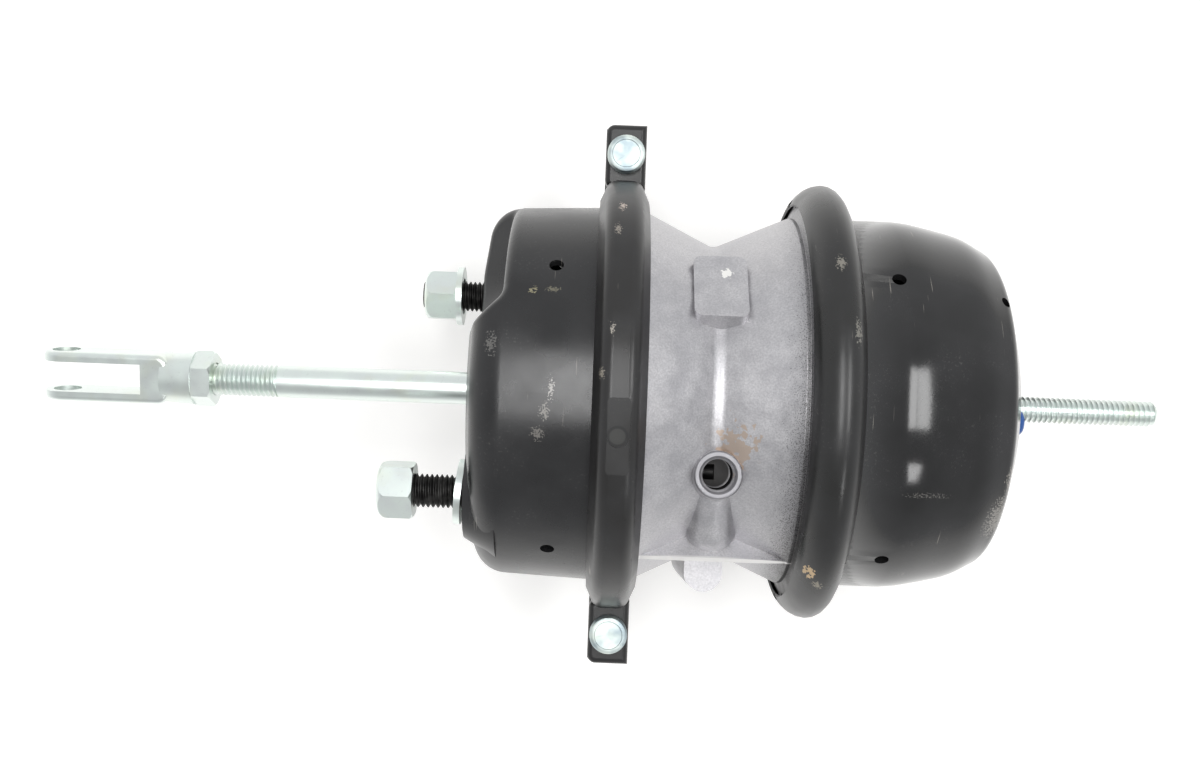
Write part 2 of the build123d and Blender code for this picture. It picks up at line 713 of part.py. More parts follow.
with BuildPart() as flange_case:
    with BuildSketch(Plane.XZ):
        with BuildLine():
            FilletPolyline(
                (case_face, 0),
                (case_face, flange_radius),
                (case_flank(flange_radius), flange_radius),
                (case_flank(service_root_radius), service_root_radius),
                (case_flank(service_root_radius) + case_land, case_left_radius),
                (waist_x, waist_radius),
                (case_right_root, case_right_radius),
                (ring_flank(case_right_radius), case_right_radius),
                (ring_flank(ring_flange_radius), ring_flange_radius),
                (spring_flange, ring_flange_radius),
                (spring_flange, 0),
                radius=[0, 0.6, 1.0, 1.5, waist_round, 1.0, 0.3, 0.6, 0],
            )
            Line((spring_flange, 0), (case_face, 0))
        make_face()
    revolve(axis=Axis.X)

    # stiffening fin between the two flanges
    with BuildSketch(radial_plane(case_flank(service_root_radius), 0, -fin_turn)):
        Rectangle(
            case_right_root - case_flank(service_root_radius),
            fin_thickness,
            align=(Align.MIN, Align.CENTER),
        )
    extrude(amount=fin_radius)

    # data pad
    with BuildSketch(radial_plane(waist_x, 0, pad_turn)) as pad:
        Rectangle(pad_length, pad_height)
        fillet(pad.vertices(), pad_round)
    extrude(amount=pad_radius)

    # near port: a boss towards +Z and the cored ridge that runs down to the fin
    with BuildSketch(Plane.XY.offset(ridge_top_z)):
        with Locations((port_x, near_port_y)):
            Circle(port_boss_radius)
    extrude(amount=near_port_height - ridge_top_z)
    fillet(circles_at(flange_case, near_port_height, port_boss_radius), port_boss_round)
    ridge_start = Vector(port_x, near_port_y, ridge_top_z)
    ridge_end = Vector(port_x, ridge_end_y, ridge_end_z)
    with BuildSketch(Plane(origin=ridge_start, x_dir=(1, 0, 0), z_dir=ridge_end - ridge_start)):
        Circle(port_boss_radius)
    extrude(amount=(ridge_end - ridge_start).length)
    with Locations(ridge_start, ridge_end):
        Sphere(port_boss_radius)

    # far port: a boss towards -Z on a root that grows out of the waist
    with BuildSketch(Plane.XY.offset(far_port_height)):
        with Locations((port_x, far_port_y)):
            Circle(port_boss_radius)
        with Locations((port_x, far_port_y)):
            Rectangle(
                2 * port_boss_radius,
                far_root_length,
                align=(Align.CENTER, Align.MIN),
            )
    extrude(amount=far_boss_length, taper=port_taper)

    # cavities
    with BuildSketch(Plane.XZ):
        with BuildLine():
            FilletPolyline(
                (case_face, service_cavity_radius),
                (case_wall_face, service_floor_radius),
                (case_wall_face, adapter_tip_radius + tip_margin),
                (web_recess_back, adapter_tip_radius + tip_margin),
                (web_recess_back, rod_way),
                radius=[6.0, 1.0, 1.0],
            )
            Polyline(
                (web_recess_back, rod_way),
                (web_recess_back, 0),
                (case_face, 0),
                (case_face, service_cavity_radius),
            )
        make_face()
        with BuildLine():
            FilletPolyline(
                (case_web_back, 0),
                (case_web_back, spring_floor_radius),
                (case_right_root, spring_cavity_radius),
                (spring_flange, spring_cavity_radius),
                radius=[8.0, 3.0],
            )
            Polyline(
                (spring_flange, spring_cavity_radius),
                (spring_flange, 0),
                (case_web_back, 0),
            )
        make_face()
        # rod way, bush seat and seal grooves
        with BuildLine():
            Polyline(
                (web_recess_back, 0),
                (web_recess_back, rod_way),
                (case_web_back, rod_way),
                (case_web_back, 0),
                close=True,
            )
        make_face()
        with Locations((case_web_back, 0)):
            Rectangle(
                bush_length,
                rod_way + bush_wall,
                align=(Align.MAX, Align.MIN),
            )
        for groove_x in o_ring_places:
            with Locations((groove_x, 0)):
                Rectangle(
                    o_ring_section + 2 * hole_clearance,
                    rod_way + o_ring_section + seat_gap,
                    align=(Align.CENTER, Align.MIN),
                )
    revolve(axis=Axis.X, mode=Mode.SUBTRACT)

    # port threads and the drillings that lead to each chamber
    with BuildSketch(Plane.XY.offset(near_port_height)):
        with Locations((port_x, near_port_y)):
            Circle(port_diameter / 2)
    extrude(amount=-port_depth, mode=Mode.SUBTRACT)
    with BuildSketch(Plane.XY.offset(far_port_height)):
        with Locations((port_x, far_port_y)):
            Circle(port_diameter / 2)
    extrude(amount=port_depth, mode=Mode.SUBTRACT)
    for mouth_height in (near_port_height, far_port_height):
        chamfer(circles_at(flange_case, mouth_height, port_diameter / 2), port_chamfer)
    near_drilling = Vector(port_x, near_port_y, near_port_height - port_depth)
    with BuildSketch(Plane(origin=near_drilling, z_dir=(-1, 0, 0))):
        Circle(drilling_radius)
    extrude(amount=port_x - case_wall_face + drilling_radius, mode=Mode.SUBTRACT)
    far_drilling = Vector(port_x, far_port_y, far_port_height + port_depth - drilling_radius)
    far_cavity = Vector(
        case_web_back + 2 * drilling_radius,
        2 * drilling_radius - spring_floor_radius,
        far_drilling.Z,
    )
    with BuildSketch(Plane(origin=far_drilling, z_dir=far_cavity - far_drilling)):
        Circle(drilling_radius)
    extrude(amount=(far_cavity - far_drilling).length, mode=Mode.SUBTRACT)
write(flange_case.part, "flange_case")

# ---------------------------------------------------------------- diaphragms
def diaphragm(bead_x, bead_thickness, inner_radius, rim_radius, back_x):
    """Moulded rubber cup: a bead held between two flanges and a wall of one thickness."""
    bead_back = bead_x + bead_thickness - seat_gap
    lip_radius = inner_radius - diaphragm_lip
    with BuildPart() as cup:
        with BuildSketch(Plane.XZ):
            with BuildLine():
                FilletPolyline(
                    (bead_back, inner_radius + seat_gap),
                    (bead_back, lip_radius),
                    (back_x, lip_radius - diaphragm_slope * (back_x - bead_back)),
                    (back_x, 0),
                    radius=[1.0, diaphragm_round],
                )
                offset(amount=diaphragm_thickness, side=Side.RIGHT, closed=True)
            make_face()
            with Locations((bead_x, inner_radius)):
                Rectangle(
                    bead_thickness,
                    rim_radius - inner_radius,
                    align=(Align.MIN, Align.MIN),
                )
        revolve(axis=Axis.X)
    return cup.part


service_diaphragm = diaphragm(
    service_flange,
    service_bead,
    service_bead_radius,
    flange_radius - seat_gap,
    service_diaphragm_back,
)
write(service_diaphragm, "service_diaphragm")

spring_diaphragm = diaphragm(
    spring_flange,
    spring_bead,
    spring_bead_radius,
    ring_flange_radius - seat_gap,
    spring_diaphragm_back,
)
write(spring_diaphragm, "spring_diaphragm")

# ---------------------------------------------------------------- adapter rod
with BuildPart() as adapter_rod:
    with BuildSketch(cross_plane(adapter_tip_back)):
        Circle(adapter_radius)
    extrude(amount=adapter_tip_back - adapter_base_front)
write(adapter_rod.part, "adapter_rod")

with BuildPart() as adapter_tip:
    with BuildSketch(cross_plane(adapter_tip_back)):
        Circle(adapter_tip_radius)
    extrude(amount=adapter_tip_thickness)
    fillet(adapter_tip.edges().sort_by(Axis.X)[0], 1.5)
write(adapter_tip.part, "adapter_tip")

with BuildPart() as adapter_base:
    with BuildSketch(Plane.XZ):
        with BuildLine():
            FilletPolyline(
                (adapter_base_front, 0),
                (adapter_base_front, adapter_base_radius - adapter_base_thickness),
                (adapter_base_front - adapter_lip, adapter_base_radius),
                (adapter_base_back - adapter_lip, adapter_base_radius),
                (adapter_base_back, adapter_base_radius - adapter_base_thickness),
                (adapter_base_back, 0),
                radius=[1.5, 0.8, 2.0, 3.0],
            )
            Line((adapter_base_back, 0), (adapter_base_front, 0))
        make_face()
    revolve(axis=Axis.X)
write(adapter_base.part, "adapter_base")

with BuildPart() as centre_bush:
    with BuildSketch(cross_plane(case_web_back - bush_length)):
        Circle(rod_way + bush_wall)
        Circle(rod_way, mode=Mode.SUBTRACT)
    extrude(amount=-bush_length)
write(centre_bush.part, "centre_bush")

with BuildPart() as adapter_seals:
    for groove_x in o_ring_places:
        with Locations(Plane(origin=(groove_x, 0, 0), z_dir=(1, 0, 0))):
            Torus(rod_way + o_ring_section / 2, o_ring_section / 2)
write(adapter_seals.part, "adapter_seals")

adapter_spring = coil(
    case_web_back,
    adapter_base_front,
    adapter_spring_radius,
    adapter_spring_radius,
    adapter_spring_turns,
    adapter_spring_wire,
)
write(adapter_spring, "adapter_spring")

# ---------------------------------------------------------------- spring piston
with BuildPart() as pressure_plate:
    with BuildSketch(Plane.XZ):
        with BuildLine():
            FilletPolyline(
                (pressure_plate_x, 0),
                (pressure_plate_x, pressure_plate_radius),
                (pressure_plate_back + piston_rim, pressure_plate_radius),
                (
                    pressure_plate_back + piston_rim,
                    pressure_plate_radius - pressure_plate_thickness,
                ),
                (pressure_plate_back, pressure_plate_radius - pressure_plate_thickness),
                (pressure_plate_back, tower_radius + pressure_plate_thickness),
                (tower_end, tower_radius),
                (tower_end, 0),
                radius=[5.0, 1.5, 1.5, 3.0, 5.0, 2.0],
            )
            Line((tower_end, 0), (pressure_plate_x, 0))
        make_face()
    revolve(axis=Axis.X)
    with BuildSketch(cross_plane(tower_end - tower_wall)):
        Circle(math.hypot(release_head_width, release_diameter) / 2 + hole_clearance)
    extrude(amount=tower_end - tower_wall - pressure_plate_back, mode=Mode.SUBTRACT)
    with BuildSketch(cross_plane(tower_end, turn=90)):
        SlotOverall(key_length, key_width)
    extrude(amount=tower_wall, mode=Mode.SUBTRACT)
write(pressure_plate.part, "pressure_plate")

power_spring = coil(
    pressure_plate_back,
    head_end - head_wall,
    power_large_radius,
    power_small_radius,
    power_turns,
    spring_wire,
)
write(power_spring, "power_spring")

# ---------------------------------------------------------------- spring housing
with BuildPart() as spring_housing:
    with BuildSketch(Plane.XZ):
        with BuildLine():
            FilletPolyline(
                (head_flange, ring_flange_radius),
                (head_flange, head_radius + head_flare),
                (head_flange + head_flare, head_radius - head_wall),
                (head_side_end, head_radius - head_wall),
                (head_taper_x, head_taper_radius),
                (head_shoulder_x, head_shoulder_radius),
                (head_end - head_wall, head_face_radius),
                (head_end - head_wall, head_recess_radius + head_wall),
                (recess_inside, head_recess_radius + head_wall),
                (recess_inside, 0),
                radius=[
                    head_flare_round,
                    head_flare_round,
                    head_side_round,
                    head_side_round,
                    head_shoulder_round,
                    head_face_round,
                    head_recess_edge,
                    head_recess_round,
                ],
            )
            offset(amount=head_wall, side=Side.LEFT, closed=True)
        make_face()
    revolve(axis=Axis.X)
    with BuildSketch(cross_plane(recess_inside)):
        SlotOverall(key_length, key_width)
    extrude(amount=-2 * head_wall, mode=Mode.SUBTRACT)
    add(head_vents, mode=Mode.SUBTRACT)
    with BuildSketch(radial_plane(drain_x, 0, vent_turn)):
        Circle(drain_diameter / 2)
    extrude(amount=flange_radius, mode=Mode.SUBTRACT)
write(spring_housing.part, "spring_housing")

# ---------------------------------------------------------------- crimp ring
with BuildPart() as crimp_ring:
    with BuildSketch(Plane.XZ):
        with BuildLine():
            FilletPolyline(
                (ring_left, ring_root_radius),
                (ring_left_shoulder, ring_flange_radius + ring_shoulder_rise),
                (ring_left_shoulder + ring_crown_inset, ring_crest_radius),
                (ring_right_shoulder - ring_crown_inset, ring_crest_radius),
                (ring_right_shoulder, ring_flange_radius + ring_shoulder_rise),
                (ring_right, ring_root_radius),
                radius=[9.0, 6.0, 6.0, 9.0],
            )
            offset(amount=ring_wall, side=Side.RIGHT, closed=True)
        make_face()
    revolve(axis=Axis.X)
    for side in (1, -1):
        with BuildSketch(cross_plane(ring_left, side * ring_slot_radius)):
            SlotOverall(ring_slot_length, ring_slot_width, rotation=90)
        extrude(amount=-ring_slot_depth, both=True, mode=Mode.SUBTRACT)
write(crimp_ring.part, "crimp_ring")

# ---------------------------------------------------------------- clamp band
band_middle = (service_flank(flange_radius) + case_flank(flange_radius)) / 2


def clamp_lug(side, end):
    """Channel-shaped lug at one end of a clamp half, with rounded outer edges."""
    height = lug_height - band_half_gap
    lug_plane = Plane(
        origin=(band_middle, end * lug_root, side * band_half_gap),
        x_dir=(0, end, 0),
        z_dir=(0, 0, side),
    )
    with BuildPart() as lug:
        with BuildSketch(lug_plane) as outline:
            Rectangle(lug_reach - lug_root, lug_width, align=(Align.MIN, Align.CENTER))
            fillet(outline.vertices().group_by(Axis.Y)[-1 if end > 0 else 0], lug_round)
        extrude(amount=height)
        outer = lug.edges().group_by(Axis.Z)[-1 if side > 0 else 0]
        fillet(outer.sort_by(Axis.Y)[1:] if end > 0 else outer.sort_by(Axis.Y)[:-1], lug_edge_round)
        with BuildSketch(lug_plane):
            with Locations((band_crown_radius - lug_root, 0)):
                Rectangle(
                    lug_reach - band_crown_radius - lug_wall,
                    lug_width - 2 * lug_wall,
                    align=(Align.MIN, Align.CENTER),
                )
        extrude(amount=height - lug_wall, mode=Mode.SUBTRACT)
    return lug.part


def clamp_half(side, turn):
    """Half of the clamp band on the side of +Z (1) or -Z (-1), with its stamped flat."""
    lugs = [clamp_lug(side, end) for end in (1, -1)]
    with BuildPart() as half:
        with BuildSketch(Plane.XZ):
            with BuildLine():
                FilletPolyline(
                    (service_flank(band_leg_radius) - band_clearance, band_leg_radius),
                    (service_flank(band_inside_radius) - band_clearance, band_inside_radius),
                    (case_flank(band_inside_radius) + band_clearance, band_inside_radius),
                    (case_flank(band_leg_radius) + band_clearance, band_leg_radius),
                    radius=band_round,
                )
                offset(amount=band_wall, side=Side.LEFT, closed=True)
            make_face()
        revolve(axis=Axis.X)
        split(
            bisect_by=Plane.XY.offset(side * band_half_gap),
            keep=Keep.TOP if side > 0 else Keep.BOTTOM,
        )
        add(lugs)
        for end in (1, -1):
            with BuildSketch(Plane(origin=(band_middle, end * lug_bolt_offset, 0))):
                Circle(clamp_bolt_diameter / 2 + hole_clearance)
            extrude(amount=side * lug_height, mode=Mode.SUBTRACT)
        with BuildSketch(radial_plane(band_middle, band_crown_radius - band_flat_depth, turn)):
            Rectangle(band_flat_width, 2 * band_leg_radius)
        extrude(amount=band_wall, mode=Mode.SUBTRACT)
        with BuildSketch(radial_plane(band_middle, band_crown_radius - band_dimple_depth, turn)):
            Circle(band_dimple_radius)
        extrude(amount=band_wall, mode=Mode.SUBTRACT)
    return half.part


clamp_half_near = clamp_half(1, -band_flat_turn)
write(clamp_half_near, "clamp_half_near")
clamp_half_far = clamp_half(-1, 180 - band_flat_turn)
write(clamp_half_far, "clamp_half_far")

clamp_bolt_length = 2 * lug_height + clamp_nut_height + clamp_bolt_end
with BuildPart() as clamp_bolts:
    for end in (1, -1):
        with BuildSketch(Plane(origin=(band_middle, end * lug_bolt_offset, lug_height))):
            Circle(clamp_head_radius)
        extrude(amount=clamp_head_height)
    head_rims = clamp_bolts.edges().filter_by(GeomType.CIRCLE).group_by(Axis.Z)[-1]
    fillet(head_rims, clamp_head_round)
    for end in (1, -1):
        with BuildSketch(Plane(origin=(band_middle, end * lug_bolt_offset, lug_height))):
            Circle(clamp_bolt_diameter / 2)
        extrude(amount=-clamp_bolt_length)
write(clamp_bolts.part, "clamp_bolts")

clamp_hexes = [
    turned_hex(
        Plane(origin=(band_middle, end * lug_bolt_offset, -lug_height), z_dir=(0, 0, -1)),
        clamp_nut_flats,
        clamp_nut_height,
        clamp_bolt_diameter / 2 + fastener_clearance,
        hex_chamfer,
    )
    for end in (1, -1)
]
with BuildPart() as clamp_nuts:
    add(clamp_hexes)
write(clamp_nuts.part, "clamp_nuts")

# ---------------------------------------------------------------- release bolt
with BuildPart() as release_bolt:
    with BuildSketch(cross_plane(release_head_x)):
        Circle(release_diameter / 2)
    extrude(amount=release_head_x - release_end)
    chamfer(release_bolt.edges().filter_by(GeomType.CIRCLE).sort_by(Axis.X)[-1], 2.0)
    with BuildSketch(cross_plane(release_head_x)) as head_bar:
        Rectangle(release_head_width, release_diameter)
        fillet(head_bar.vertices(), 2.0)
    extrude(amount=-release_head_height)
write(release_bolt.part, "release_bolt")

with BuildPart() as release_washer:
    with BuildSketch(cross_plane(head_recess_floor)):
        Circle(release_washer_radius)
        Circle(release_diameter / 2 + hole_clearance, mode=Mode.SUBTRACT)
    extrude(amount=-release_washer_thickness)
write(release_washer.part, "release_washer")

with BuildPart() as release_nut:
    with BuildSketch(cross_plane(head_recess_floor + release_washer_thickness)):
        RegularPolygon(release_nut_flats / 2, 6, major_radius=False)
        Circle(release_diameter / 2 + fastener_clearance, mode=Mode.SUBTRACT)
    extrude(amount=-release_nut_height)
write(release_nut.part, "release_nut")

with BuildPart() as dust_plug:
    with BuildSketch(cross_plane(plug_x, plug_y, plug_z)):
        Circle(plug_radius)
    extrude(amount=-plug_length)
    fillet(dust_plug.edges().sort_by(Axis.X)[-1], plug_radius / 2)
    with BuildSketch(layout_plane(plug_x)):
        Circle(plug_tab_radius)
        with Locations((plug_y, plug_z)):
            Circle(plug_radius)
        Circle(release_diameter / 2 + hole_clearance, mode=Mode.SUBTRACT)
    extrude(amount=plug_tab_thickness)
write(dust_plug.part, "dust_plug")
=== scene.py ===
"""Air brake chamber: finishes, threads, small hardware detail and studio light.

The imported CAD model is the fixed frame.  Lengths in the classes are millimetres and
become metres when a mesh is finished.  The chamber axis is X, the mounting face is
X = 0 and +Z looks up at the camera.
"""

import json
import logging
import math
from dataclasses import dataclass
from enum import Enum

import bmesh
import bpy
from mathutils import Matrix, Vector


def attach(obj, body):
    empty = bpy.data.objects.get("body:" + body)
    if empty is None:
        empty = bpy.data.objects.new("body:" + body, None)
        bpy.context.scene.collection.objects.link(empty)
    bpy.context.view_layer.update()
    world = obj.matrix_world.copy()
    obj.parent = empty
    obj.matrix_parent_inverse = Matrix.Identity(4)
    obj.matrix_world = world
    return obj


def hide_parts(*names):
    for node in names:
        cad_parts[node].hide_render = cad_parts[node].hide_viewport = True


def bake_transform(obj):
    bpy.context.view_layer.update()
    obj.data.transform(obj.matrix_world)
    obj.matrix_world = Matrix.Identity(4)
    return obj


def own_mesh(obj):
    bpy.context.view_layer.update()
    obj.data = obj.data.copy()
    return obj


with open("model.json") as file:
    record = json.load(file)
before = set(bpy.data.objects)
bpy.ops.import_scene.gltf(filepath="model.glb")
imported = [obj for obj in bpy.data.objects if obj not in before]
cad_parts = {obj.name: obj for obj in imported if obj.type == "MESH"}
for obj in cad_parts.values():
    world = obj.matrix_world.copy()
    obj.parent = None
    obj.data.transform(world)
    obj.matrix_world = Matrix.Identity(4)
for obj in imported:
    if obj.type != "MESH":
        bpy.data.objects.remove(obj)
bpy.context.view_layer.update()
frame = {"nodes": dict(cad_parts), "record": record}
LOG = logging.getLogger("air_brake_chamber")
MM = 0.001
IMAGE_WIDTH = 1200

Point = tuple[float, float, float]
Outline = tuple[tuple[float, float], ...]


class Body(Enum):
    """The CAD bodies that a piece may ride on."""

    CHAMBER = "chamber"
    SPRING_SEAT = "return_spring_seat"
    ROD_SET = "push_rod_set"


class Slot(Enum):
    """The record's material slots."""

    BLACK_PAINT = "black_paint"
    ALUMINIUM = "cast_aluminium"
    ZINC = "zinc_plate"
    BLACK_STEEL = "black_steel"
    INNER_STEEL = "inner_steel"
    DIAPHRAGM = "diaphragm_rubber"
    SEAL = "seal_rubber"
    NYLON = "guide_nylon"
    BLUE = "blue_plastic"


# -------------------- node helpers


def linear(code: str) -> tuple[float, float, float, float]:
    """Turn an sRGB hex colour into the linear RGBA that Blender's sockets take.

    Args:
        code: Colour such as "#a8a6aa".

    Returns:
        Linear red, green, blue and an alpha of 1.
    """
    values = [int(code[i : i + 2], 16) / 255 for i in (1, 3, 5)]
    curve = [v / 12.92 if v <= 0.04045 else ((v + 0.055) / 1.055) ** 2.4 for v in values]
    return (curve[0], curve[1], curve[2], 1.0)


def cleared(owner: bpy.types.Material | bpy.types.World) -> bpy.types.NodeTree:
    """Turn a material's or world's nodes on and empty its tree.

    Args:
        owner: The material or world.

    Returns:
        Its empty node tree.
    """
    owner.use_nodes = True
    owner.node_tree.nodes.clear()
    return owner.node_tree


def add_node(
    tree: bpy.types.NodeTree, kind: str, inputs: dict | None = None, **settings: object
) -> bpy.types.Node:
    """Add one node with its settings, constants and links.

    Args:
        tree: The node tree that gets the node.
        kind: Blender's node type name after "ShaderNode".
        inputs: Socket name or index to a constant or to the output socket that feeds it.
        settings: Attributes set on the node before its inputs.

    Returns:
        The new node.
    """
    node = tree.nodes.new("ShaderNode" + kind)
    for name, value in settings.items():
        setattr(node, name, value)
    for socket, source in (inputs or {}).items():
        if isinstance(source, bpy.types.NodeSocket):
            tree.links.new(source, node.inputs[socket])
        else:
            node.inputs[socket].default_value = source
    return node


# -------------------- finishes


@dataclass(frozen=True)
class Mark:
    """A small local patch of colour: a paint chip, scuff or dab of paint, or painted shade or a
    painted highlight.

    Attributes:
        centre: Middle of the mark in millimetres.
        size: Half lengths along X, Y and Z in millimetres.
        colour: sRGB hex of what shows there.
        cover: Share of the patch that is covered; above 1 it is whole, with a clean edge.
        grain: Size of the ragged edge in millimetres.
    """

    centre: Point
    size: Point
    colour: str
    cover: float
    grain: float


@dataclass
class Skin:
    """A material in the making, whose colour and relief grow layer by layer.

    Attributes:
        tree: The material's tree.
        shader: Its shader.
        where: Its Object coordinates, in metres.
        colour: The colour so far, as a constant or a socket.
        normal: The relief so far, or None while the surface is smooth.
    """

    tree: bpy.types.NodeTree
    shader: bpy.types.Node
    where: bpy.types.NodeSocket
    colour: bpy.types.NodeSocket | tuple[float, float, float, float]
    normal: bpy.types.NodeSocket | None = None

    def cloud(
        self,
        size: float,
        detail: float,
        low: float,
        high: float,
        least: float = 0.0,
        most: float = 1.0,
        within: bpy.types.NodeSocket | None = None,
    ) -> bpy.types.NodeSocket:
        """Share that comes and goes in blotches over the surface.

        Args:
            size: Blotch size in millimetres.
            detail: Octaves of finer noise.
            low: Noise that gives least.
            high: Noise that gives most.
            least: Share at low.
            most: Share at high.
            within: Another share that this one is multiplied by.

        Returns:
            The share's socket.
        """
        blotches = {"Vector": self.where, "Scale": 1.0 / (size * MM), "Detail": detail}
        noise = add_node(self.tree, "TexNoise", blotches).outputs["Fac"]
        steps = {0: noise, 1: low, 2: high, 3: least, 4: most}
        share = add_node(self.tree, "MapRange", steps, clamp=True).outputs[0]
        if within is None:
            return share
        both = add_node(self.tree, "Math", {0: share, 1: within}, operation="MULTIPLY")
        return both.outputs[0]

    def cover(self, share: bpy.types.NodeSocket, tint: str) -> None:
        """Lay an sRGB hex tint over the colour so far, as far as a share goes."""
        layers = {0: share, 6: self.colour, 7: linear(tint)}
        self.colour = add_node(self.tree, "Mix", layers, data_type="RGBA").outputs[2]

    def dull(self, share: bpy.types.NodeSocket) -> None:
        """Let a share drive the roughness."""
        self.tree.links.new(share, self.shader.inputs["Roughness"])

    def emboss(self, height: bpy.types.NodeSocket, depth: float) -> None:
        """Add relief on the relief so far.

        Args:
            height: Height from 0 to 1.
            depth: What a height of 1 stands for, in millimetres.
        """
        inputs: dict = {"Height": height, "Distance": depth * MM, "Strength": 1.0}
        if self.normal is not None:
            inputs["Normal"] = self.normal
        self.normal = add_node(self.tree, "Bump", inputs).outputs["Normal"]

    def grain(self, size: float, detail: float, depth: float) -> None:
        """Raise a grain of a size and a depth in millimetres, on the relief so far."""
        grit = {"Vector": self.where, "Scale": 1.0 / (size * MM), "Detail": detail}
        self.emboss(add_node(self.tree, "TexNoise", grit).outputs["Fac"], depth)

    def patch(self, mark: Mark) -> bpy.types.NodeSocket:
        """Share of a ragged or whole patch round a mark's centre.

        Args:
            mark: The mark.

        Returns:
            0 outside the patch and 1 inside it.
        """
        tree = self.tree
        centre = tuple(c * MM for c in mark.centre)
        reach = tuple(1.0 / (s * MM) for s in mark.size)
        away = add_node(tree, "VectorMath", {0: self.where, 1: centre}, operation="SUBTRACT")
        scaled = add_node(tree, "VectorMath", {0: away.outputs[0], 1: reach}, operation="MULTIPLY")
        length = add_node(tree, "VectorMath", {0: scaled.outputs[0]}, operation="LENGTH")
        far = length.outputs["Value"]
        if mark.cover > 1.0:
            clean_edge = {0: far, 1: 0.88, 2: 1.0, 3: 1.0, 4: 0.0}
            return add_node(tree, "MapRange", clean_edge, clamp=True).outputs[0]
        fading = {0: far, 1: 0.0, 2: 1.0, 3: 1.0, 4: 0.0}
        inside = add_node(tree, "MapRange", fading, clamp=True).outputs[0]
        ragged = self.cloud(mark.grain, 3.0, 0.34, 0.66)
        total = add_node(tree, "Math", {0: inside, 1: ragged}, operation="ADD").outputs[0]
        # the fuller the cover, the lower the level at which the noise shows
        level = 1.45 - 0.75 * mark.cover
        torn = add_node(tree, "MapRange", {0: total, 1: level, 2: level + 0.06}, clamp=True)
        rim = add_node(tree, "MapRange", {0: far, 1: 0.95, 2: 1.0, 3: 1.0, 4: 0.0}, clamp=True)
        both = {0: torn.outputs[0], 1: rim.outputs[0]}
        return add_node(tree, "Math", both, operation="MULTIPLY").outputs[0]


@dataclass(frozen=True)
class Finish:
    """What every finish shares: a name, a base colour, a surface and local marks.

    Attributes:
        name: Material name.
        colour: sRGB hex of the clean surface.
        roughness: Roughness of the clean surface.
        metallic: 1 for bare metal, 0 for paint, rubber and plastic.
        marks: Local chips, scuffs and stains, and patches of painted shade or highlight.
    """

    name: str
    colour: str
    roughness: float
    metallic: float = 0.0
    marks: tuple[Mark, ...] = ()

    def lay(self, skin: Skin) -> None:
        """Lay the finish's own layers; a plain finish has none."""

    def material(self) -> bpy.types.Material:
        """Build the material: the finish's layers, then its marks.

        Returns:
            The material.
        """
        material = bpy.data.materials.new(self.name)
        tree = cleared(material)
        surface = {
            "Base Color": linear(self.colour),
            "Roughness": self.roughness,
            "Metallic": self.metallic,
        }
        shader = add_node(tree, "BsdfPrincipled", surface)
        add_node(tree, "OutputMaterial", {"Surface": shader.outputs["BSDF"]})
        where = add_node(tree, "TexCoord").outputs["Object"]
        skin = Skin(tree, shader, where, linear(self.colour))
        self.lay(skin)
        for mark in self.marks:
            skin.cover(skin.patch(mark), mark.colour)
        for socket, source in (("Base Color", skin.colour), ("Normal", skin.normal)):
            if isinstance(source, bpy.types.NodeSocket):
                tree.links.new(source, shader.inputs[socket])
        return material


@dataclass(frozen=True)
class PressedPaint(Finish):
    """Gloss black dip paint on pressed steel: orange peel, sheet waviness, dust and scuffs."""

    def lay(self, skin: Skin) -> None:
        """Lay the paint: the dip coat is even and glossy, and handling has dulled it in patches.

        Args:
            skin: The material in the making.
        """
        haze = (26.0, 5.0)
        skin.cover(skin.cloud(*haze, 0.35, 0.75), "#242425")
        # fine scratches run round the shell: noise stretched along Y and Z
        stretch = {"Vector": skin.where, "Scale": (900.0, 34.0, 60.0), "Rotation": (0.0, 0.0, 0.35)}
        along = add_node(skin.tree, "Mapping", stretch, vector_type="POINT").outputs["Vector"]
        threads = {"Vector": along, "Scale": 1.0, "Detail": 1.0}
        lines = add_node(skin.tree, "TexNoise", threads).outputs["Fac"]
        thin = add_node(skin.tree, "MapRange", {0: lines, 1: 0.735, 2: 0.765}, clamp=True)
        zone = skin.cloud(22.0, 1.0, 0.52, 0.66)
        scratches = add_node(
            skin.tree, "Math", {0: thin.outputs[0], 1: zone}, operation="MULTIPLY"
        ).outputs[0]
        skin.cover(scratches, "#74706a")
        dusty = skin.cloud(*haze, 0.5, 0.7, 0.0, 0.22)
        skin.cover(skin.cloud(1.1, 2.0, 0.60, 0.80, within=dusty), "#8b8a86")
        skin.dull(skin.cloud(*haze, 0.35, 0.7, self.roughness, self.roughness * 1.5))
        skin.grain(34.0, 1.0, 0.05)
        skin.grain(1.6, 1.0, 0.012)


